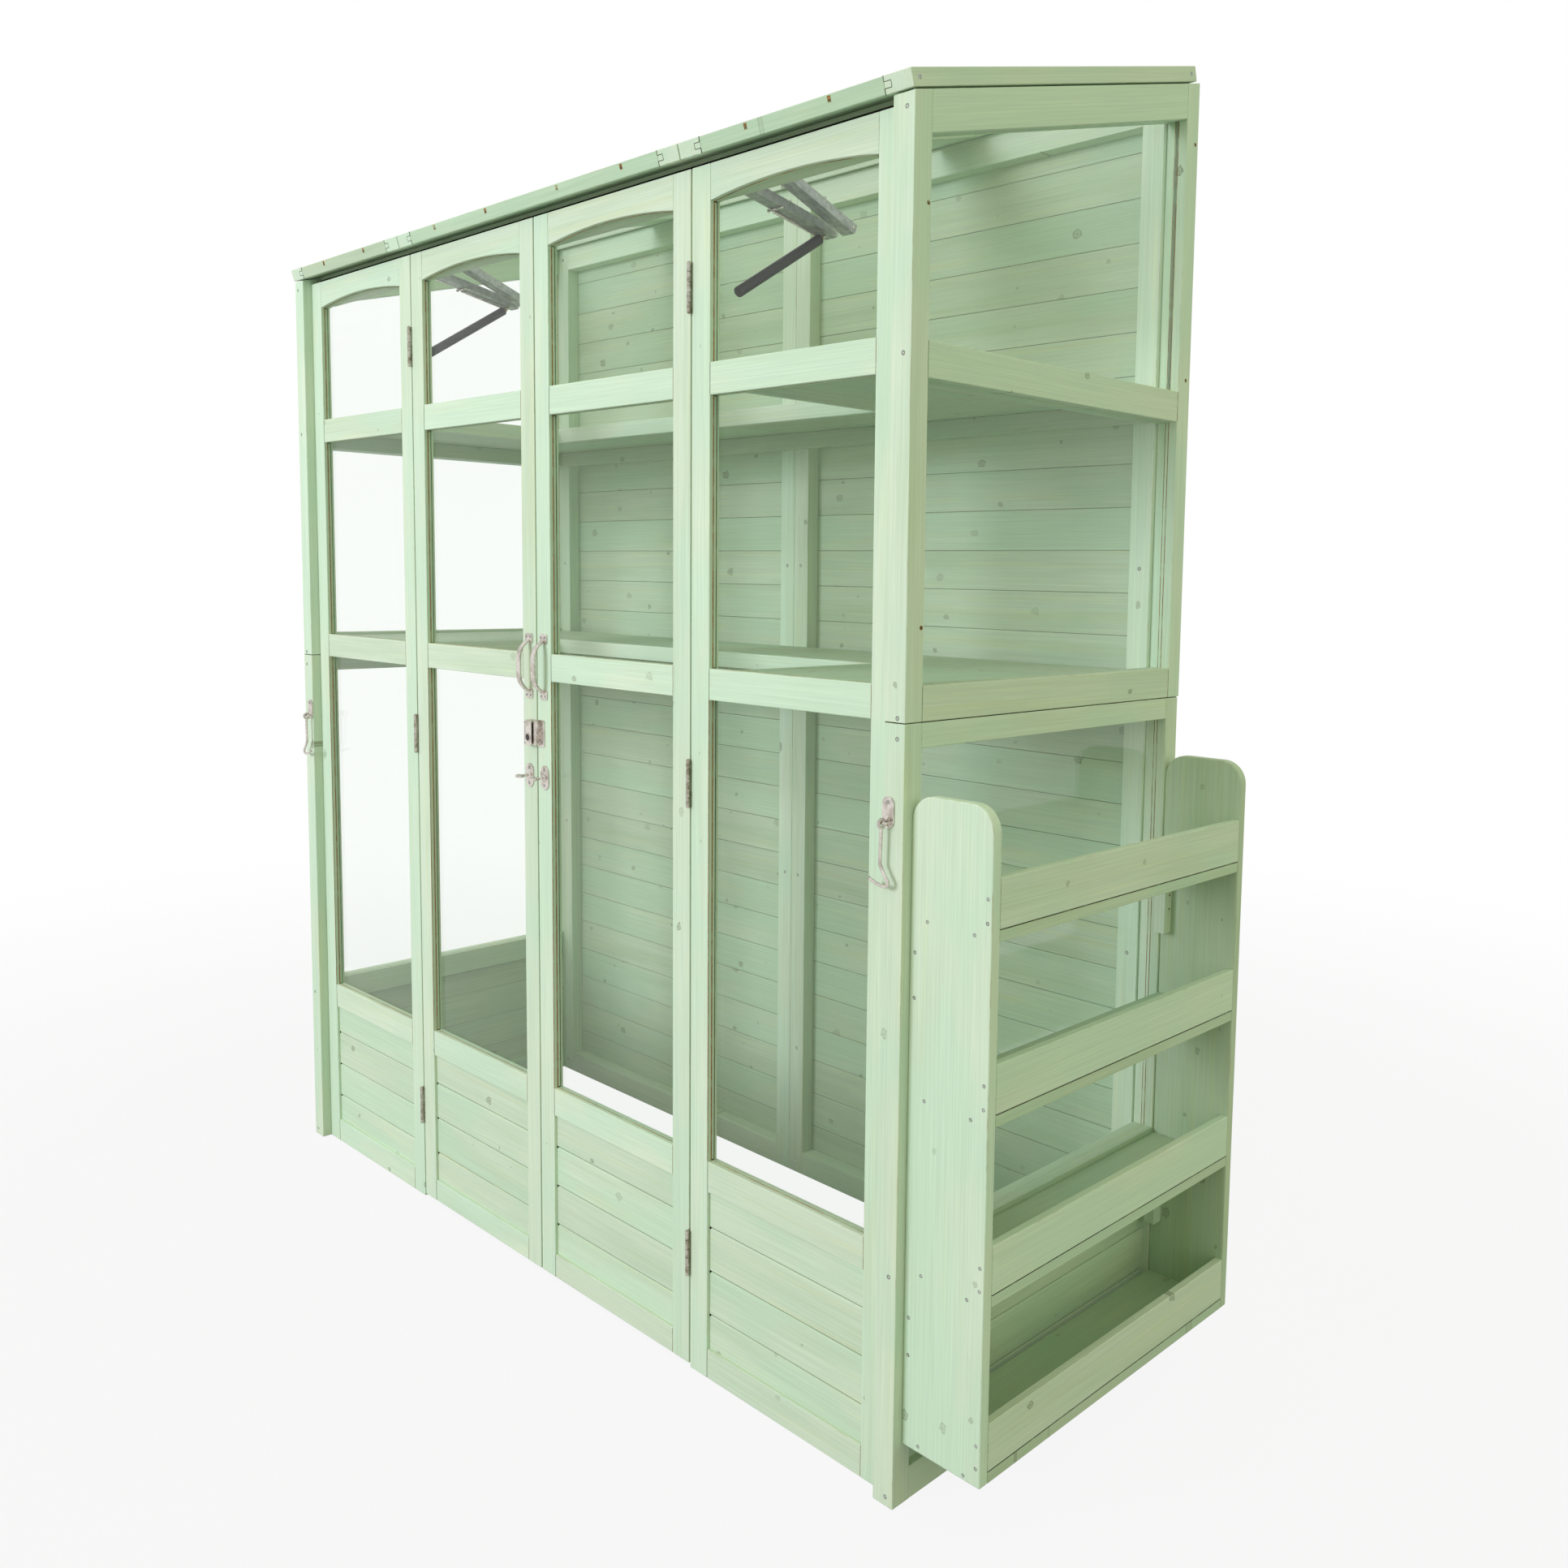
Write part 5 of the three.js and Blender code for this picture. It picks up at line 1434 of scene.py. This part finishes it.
def lock_keeper():
    """The lock's half on the right door: plate, box and the inner half of the barrel."""
    piece = Piece()
    low, high = LOCK
    (left, right), (box_left, box_right) = KEEPER_PLATE_X, KEEPER_X
    rounded_block(piece, (left, low), (right, high), 4.0, -LOCK_PLATE, 0, 0.5)
    rounded_block(piece, (box_left, low + 3), (box_right, high - 2.5), 1.8, -KEEPER_FACE, -1.4, 0.9)
    barrel = rounded_profile(LOCK_BARREL, 4.2, 1.6)
    lathe(piece, (6.6, -5.6, high - LOCK_BARREL_DROP), (0, 0, 1), barrel)
    for z in (high - 8, low + 23, low + 8):
        screw(piece, (KEEPER_SCREW_X, -LOCK_PLATE, z), (0, -1, 0), SMALL_SCREW_RADIUS)
    return piece


def oval_plate(piece, x, face, z, half_width):
    low, high = (x - half_width, z - PLATE_HALF_HEIGHT), (x + half_width, z + PLATE_HALF_HEIGHT)
    front = face - PLATE_THICKNESS
    metal_block(piece, prism(rounded_outline(low, high, half_width - 0.1, 10), front, face, "y"), 0.8)
    for rise in (-PLATE_SCREW_RISE, PLATE_SCREW_RISE):
        screw(piece, (x, front, z + rise), (0, -1, 0), PLATE_SCREW_RADIUS)


def eye_plate(x):
    piece = Piece()
    oval_plate(piece, x, 0, EYE_Z, DOOR_PLATE_HALF_WIDTH)
    lathe(piece, (x, -1.8, EYE_Z), (0, -1, 0), EYE_BOSS, sides=24)
    tube(piece, [(x, y, EYE_Z) for y in (-1.5, -6, EYE_CENTRE_Y + EYE_RING)], EYE_BAR)
    ring = [(x + EYE_RING * math.sin(a), EYE_CENTRE_Y + EYE_RING * math.cos(a), EYE_Z) for a in circle(32)]
    tube(piece, ring, EYE_BAR, closed=True)
    return piece


def hook_plate():
    """The oval plate on the post, with the staple that the cabin hook hangs from."""
    piece = Piece()
    oval_plate(piece, POST_PLATE_X, SIDE_FRONT, HOOK_PLATE_Z, POST_PLATE_HALF_WIDTH)
    leg = [(6.4, SIDE_FRONT - 1), (6.4, HOOK_Y + 3.4), (4.4, HOOK_Y + 0.6)]
    staple = [(-x, y) for x, y in leg] + [(0, HOOK_Y)] + leg[::-1]
    tube(piece, smooth_path([(HOOK_X + x, y, HOOK_PIVOT_Z) for x, y in staple]), STAPLE_BAR)
    return piece


def cabin_hook():
    piece = Piece()
    centre_y, centre_z = HOOK_Y + 0.9, HOOK_PIVOT_Z - 0.8
    turns = [(HOOK_RING * math.cos(a), HOOK_RING * math.sin(a)) for a in circle(32)]
    tube(piece, [(HOOK_X, centre_y + y, centre_z + z) for y, z in turns], HOOK_RING_BAR, closed=True)
    tube(piece, smooth_path([(HOOK_X + x, HOOK_Y, HOOK_PIVOT_Z + z) for x, z in HOOK_PATH], 5), HOOK_BAR)
    return piece


def build_hardware():
    for word, side in SIDES:
        door = f"{word}_door"
        for i, centre in enumerate(DOOR_HINGES, 1):
            fixed, moving = (door_hinge(centre, side, turns) for turns in (False, True))
            fixed.make(f"{word}_hinge_fixed_half_{i}", "root", [f"{word}_hinge_{i}"], "bright_steel")
            moving.make(f"{word}_hinge_door_half_{i}", door, [], "bright_steel")
        fittings = (
            (mirrored(handle(), -side), "bow_handle", door, "handle"),
            (eye_plate(side * EYE_X), "eye_plate", door, "door_eye_plate"),
            (mirrored(hook_plate(), side), "staple_plate", "root", "hook_plate"),
            (mirrored(cabin_hook(), side), "cabin_hook", f"{word}_hook", "hook"),
        )
        for piece, name, body, node in fittings:
            piece.make(f"{word}_{name}", body, [f"{word}_{node}"], "bright_steel")
    lock_case().make("lock_case_body", "left_door", ["lock_case"], "bright_steel")
    lock_keeper().make("lock_keeper_body", "right_door", ["lock_keeper"], "bright_steel")


# Vent openers


def arm_axes(centre_x, start, end):
    """A space whose y axis runs from one (y, z) place to another, and their distance."""
    dy, dz = end[0] - start[0], end[1] - start[1]
    axes = Matrix.Translation((centre_x, *start)) @ Matrix.Rotation(math.atan2(dz, dy), 4, "X")
    return axes, math.hypot(dy, dz)


def channel_arm(centre_x, start, end):
    """A ribbed channel, open at the top, with a pin through each end."""
    axes, length = arm_axes(centre_x, start, end)
    piece = Piece(axes)
    half, top = ARM_WIDTH / 2, ARM_HEIGHT / 2
    inner, floor = half - ARM_WALL, ARM_WALL - top
    outline = [(-half, top), (-half, -top), (half, -top), (half, top)]
    outline += [(inner, top), (inner, floor), (-inner, floor), (-inner, top)]
    metal_block(piece, prism(outline, -ARM_END, length + ARM_END, "y"), 0.35, ALUMINIUM)
    rib_end = ARM_END - 0.5
    for x in (-ARM_RIB_X, ARM_RIB_X):
        rib = cuboid((x - 0.7, -rib_end, -top - 0.7), (x + 0.7, length + rib_end, 0.4 - top))
        metal_block(piece, rib, 0.25, ALUMINIUM)
    for y in (0, length):
        lathe(piece, (-half - 1.4, y, 0), (1, 0, 0), rounded_profile(ARM_WIDTH + 2.8, 3.0, 0.6), sides=20)
    return piece


def opener_link(arm_x):
    """The bright cross link near the middle of the frame arm, and the sprung rod beside it."""
    piece = Piece()
    axes, length = arm_axes(arm_x, FRAME_PIVOT, ELBOW)
    half = ARM_WIDTH / 2
    middle = length * LINK_SHARE
    link = [axes @ Vector((x, middle, LINK_LEVEL)) for x in (-half - 3, half + 3)]
    tube(piece, link, 1.5)
    rod = ((3 - half, middle, LINK_LEVEL), (5 - half, length - 6, LINK_LEVEL - 1))
    tube(piece, [axes @ Vector(p) for p in rod], 1.3)
    steps = SPRING_COILS * 8
    coil = []
    for i in range(steps + 1):
        turn = 2 * math.pi * i / 8
        share = i / steps
        spot = Vector((3 - half + 2 * share, middle + 4 + (length - 14 - middle) * share, LINK_LEVEL - share))
        coil.append(axes @ (spot + Vector((math.cos(turn), 0, math.sin(turn))) * SPRING_RADIUS))
    tube(piece, coil, 0.5, STEEL, 6)
    for end in link:
        lathe(piece, end - Vector((1, 0, 0)), (1, 0, 0), [(0, 2.6), (2, 2.6)], sides=6)
    return piece


def wax_cylinder(arm_x):
    """The black tube on the frame arm, with the nut and the rod at its upper end."""
    axes, length = arm_axes(arm_x, ELBOW, CYLINDER_LOW)
    piece = Piece(axes)
    body = rounded_profile(length - CYLINDER_HEAD, CYLINDER_RADIUS, 2.2)
    lathe(piece, (0, CYLINDER_HEAD, 0), (0, 1, 0), body, BLACK, 36)
    lathe(piece, (0, CYLINDER_HEAD - 5, 0), (0, 1, 0), rounded_profile(7, 4.8, 0.6), BRASS, 6)
    lathe(piece, (0, 0, 0), (0, 1, 0), rounded_profile(CYLINDER_HEAD - 4, 2.8, 0.5), sides=20)
    return piece


def bracket(arm_x, cheek, plate, seat_x, axes=None):
    """Two cheeks beside an arm, and the plate that joins them and reaches to its seat.

    The cheek and the plate are each given by their low and high (y, z) corners.
    """
    piece = Piece(axes)
    inner = ARM_WIDTH / 2 + CHEEK_GAP
    outer = inner + CHEEK
    for start, end in ((-outer, -inner), (inner, outer)):
        metal_block(piece, cuboid((arm_x + start, *cheek[0]), (arm_x + end, *cheek[1])), 0.5, ALUMINIUM)
    start, end = min(arm_x, seat_x) - outer, max(arm_x, seat_x) + outer
    metal_block(piece, cuboid((start, *plate[0]), (end, *plate[1])), 0.4, ALUMINIUM)
    return piece


def frame_bracket(arm_x):
    y, z = FRAME_PIVOT
    cheek = ((HEADER_REAR, z - ARM_END), (y + ARM_END, z + ARM_END))
    plate = ((HEADER_REAR, WALL_PLATE[0]), (HEADER_REAR + CHEEK, WALL_PLATE[1]))
    return bracket(arm_x, cheek, plate, arm_x)


def vent_bracket(arm_x):
    place = ROOF_AXES.inverted() @ Vector((0, *VENT_PIVOT))
    low, high = place.y - ARM_END, place.y + ARM_END
    seat_x = math.copysign(VENT_SEAT_X, arm_x)
    return bracket(arm_x, ((low, place.z - 5), (high, 0)), ((low, -CHEEK), (high, 0)), seat_x, ROOF_AXES)


def build_openers():
    for word, vent_arm_x in (("right", VENT_SEAT_X + OPENER_ARM_PITCH), ("left", -VENT_SEAT_X)):
        frame_arm_x = vent_arm_x - OPENER_ARM_PITCH
        frame_body = f"{word}_frame_arm"
        for which, x, pivot in (("vent", vent_arm_x, VENT_PIVOT), ("frame", frame_arm_x, FRAME_PIVOT)):
            arm = channel_arm(x, pivot, ELBOW)
            body, node = f"{word}_{which}_arm", f"{word}_opener_{which}_arm"
            arm.make(f"{body}_channel", body, [node], "grey_aluminium")
        opener_link(frame_arm_x).make(f"{word}_opener_link", frame_body, [], "bright_steel")
        wax_cylinder(frame_arm_x).make(f"{word}_wax_cylinder", frame_body, [], None)
        frame_bracket(frame_arm_x).make(f"{word}_frame_bracket", "root", [], "grey_aluminium")
        vent_bracket(vent_arm_x).make(f"{word}_vent_bracket", f"{word}_vent", [], "grey_aluminium")


# The stage, its light and the camera


def seen_by_camera(g):
    """1 on the rays that show a thing to the camera, straight or by the glass, and 0 on other light."""
    path = g.node("ShaderNodeLightPath").outputs
    by_glass = g.math("MAXIMUM", path["Is Glossy Ray"], path["Is Transmission Ray"])
    return g.math("MAXIMUM", path["Is Camera Ray"], by_glass)


def floor_material():
    g = Graph(bpy.data.materials.new("pale_floor"))
    place_on = g.place_on_object()
    speckle = g.noise(place_on, 4.0, 3.0)
    lit = g.node("ShaderNodeBsdfDiffuse", Color=g.mix(g.ramp(speckle, 0.3, 0.7), *FLOOR_TONES)).outputs[0]
    white = g.node("ShaderNodeEmission", Color=WHITE, Strength=1.0).outputs[0]
    distance = g.node("ShaderNodeVectorMath", {"operation": "LENGTH"}, Vector=place_on).outputs["Value"]
    white_share = g.ramp(distance, *FLOOR_FADE, FLOOR_WHITE_SHARE, 1.0)
    return g.finish(g.blend(g.math("MULTIPLY", seen_by_camera(g), white_share), lit, white))


def build_stage():
    mesh = bpy.data.meshes.new("floor")
    signs = ((-1, -1), (1, -1), (1, 1), (-1, 1))
    corners = [(x * FLOOR_REACH, y * FLOOR_REACH, FLOOR_LEVEL) for x, y in signs]
    mesh.from_pydata(corners, [], [[0, 1, 2, 3]])
    floor = bpy.data.objects.new("floor", mesh)
    mesh.materials.append(floor_material())
    bpy.context.scene.collection.objects.link(floor)


def build_world():
    """Soft white surroundings: toned light on the object, and white where the camera sees them."""
    world = bpy.data.worlds.new("surroundings")
    bpy.context.scene.world = world
    g = Graph(world)
    seen = seen_by_camera(g)
    strength = g.node("ShaderNodeMapRange", Value=seen, To_Min=WORLD_LIGHT, To_Max=1.0).outputs[0]
    tone = g.mix(seen, WORLD_TONE, WHITE)
    background = g.node("ShaderNodeBackground", Color=tone, Strength=strength).outputs[0]
    g.node("ShaderNodeOutputWorld", Surface=background)


def build_lamps():
    for name, spot, target, power, tone in LAMPS:
        lamp = bpy.data.lights.new(name, "AREA")
        lamp.shape = "SQUARE"
        lamp.size = LAMP_SIZE
        lamp.energy = power
        lamp.color = tone
        made = bpy.data.objects.new(name, lamp)
        made.location = spot
        made.rotation_euler = (Vector(target) - Vector(spot)).to_track_quat("-Z", "Y").to_euler()
        made.visible_glossy = False
        bpy.context.scene.collection.objects.link(made)


def build_camera():
    """The camera that fits the photograph, from its focal length and centre in pixels."""
    turn, tilt, roll = CAMERA_TURN, CAMERA_TILT, CAMERA_ROLL
    forward = Vector((-math.sin(turn) * math.cos(tilt), math.cos(turn) * math.cos(tilt), -math.sin(tilt)))
    right = Vector((math.cos(turn), math.sin(turn), 0))
    up = right.cross(forward)
    rolled_right = math.cos(roll) * right + math.sin(roll) * up
    rolled_up = math.cos(roll) * up - math.sin(roll) * right
    data = bpy.data.cameras.new("camera")
    camera = bpy.data.objects.new("camera", data)
    spot = (np.array(CAMERA_SPOT) + SHIFT) / 1000
    axes = Matrix((rolled_right, rolled_up, -forward)).transposed().to_4x4()
    camera.matrix_world = Matrix.Translation(Vector(spot)) @ axes
    data.sensor_width = SENSOR
    data.lens = CAMERA_FOCAL / IMAGE * SENSOR
    data.shift_x = (IMAGE / 2 - CAMERA_CENTRE[0]) / IMAGE
    data.shift_y = (CAMERA_CENTRE[1] - IMAGE / 2) / IMAGE
    data.clip_start = CAMERA_NEAREST
    bpy.context.scene.collection.objects.link(camera)
    bpy.context.scene.camera = camera


build_leaves()
build_sides()
build_back()
build_roof()
build_shelves()
build_side_unit()
build_hardware()
build_openers()
build_stage()
build_world()
build_lamps()
build_camera()
bpy.context.scene.view_settings.view_transform = "Standard"
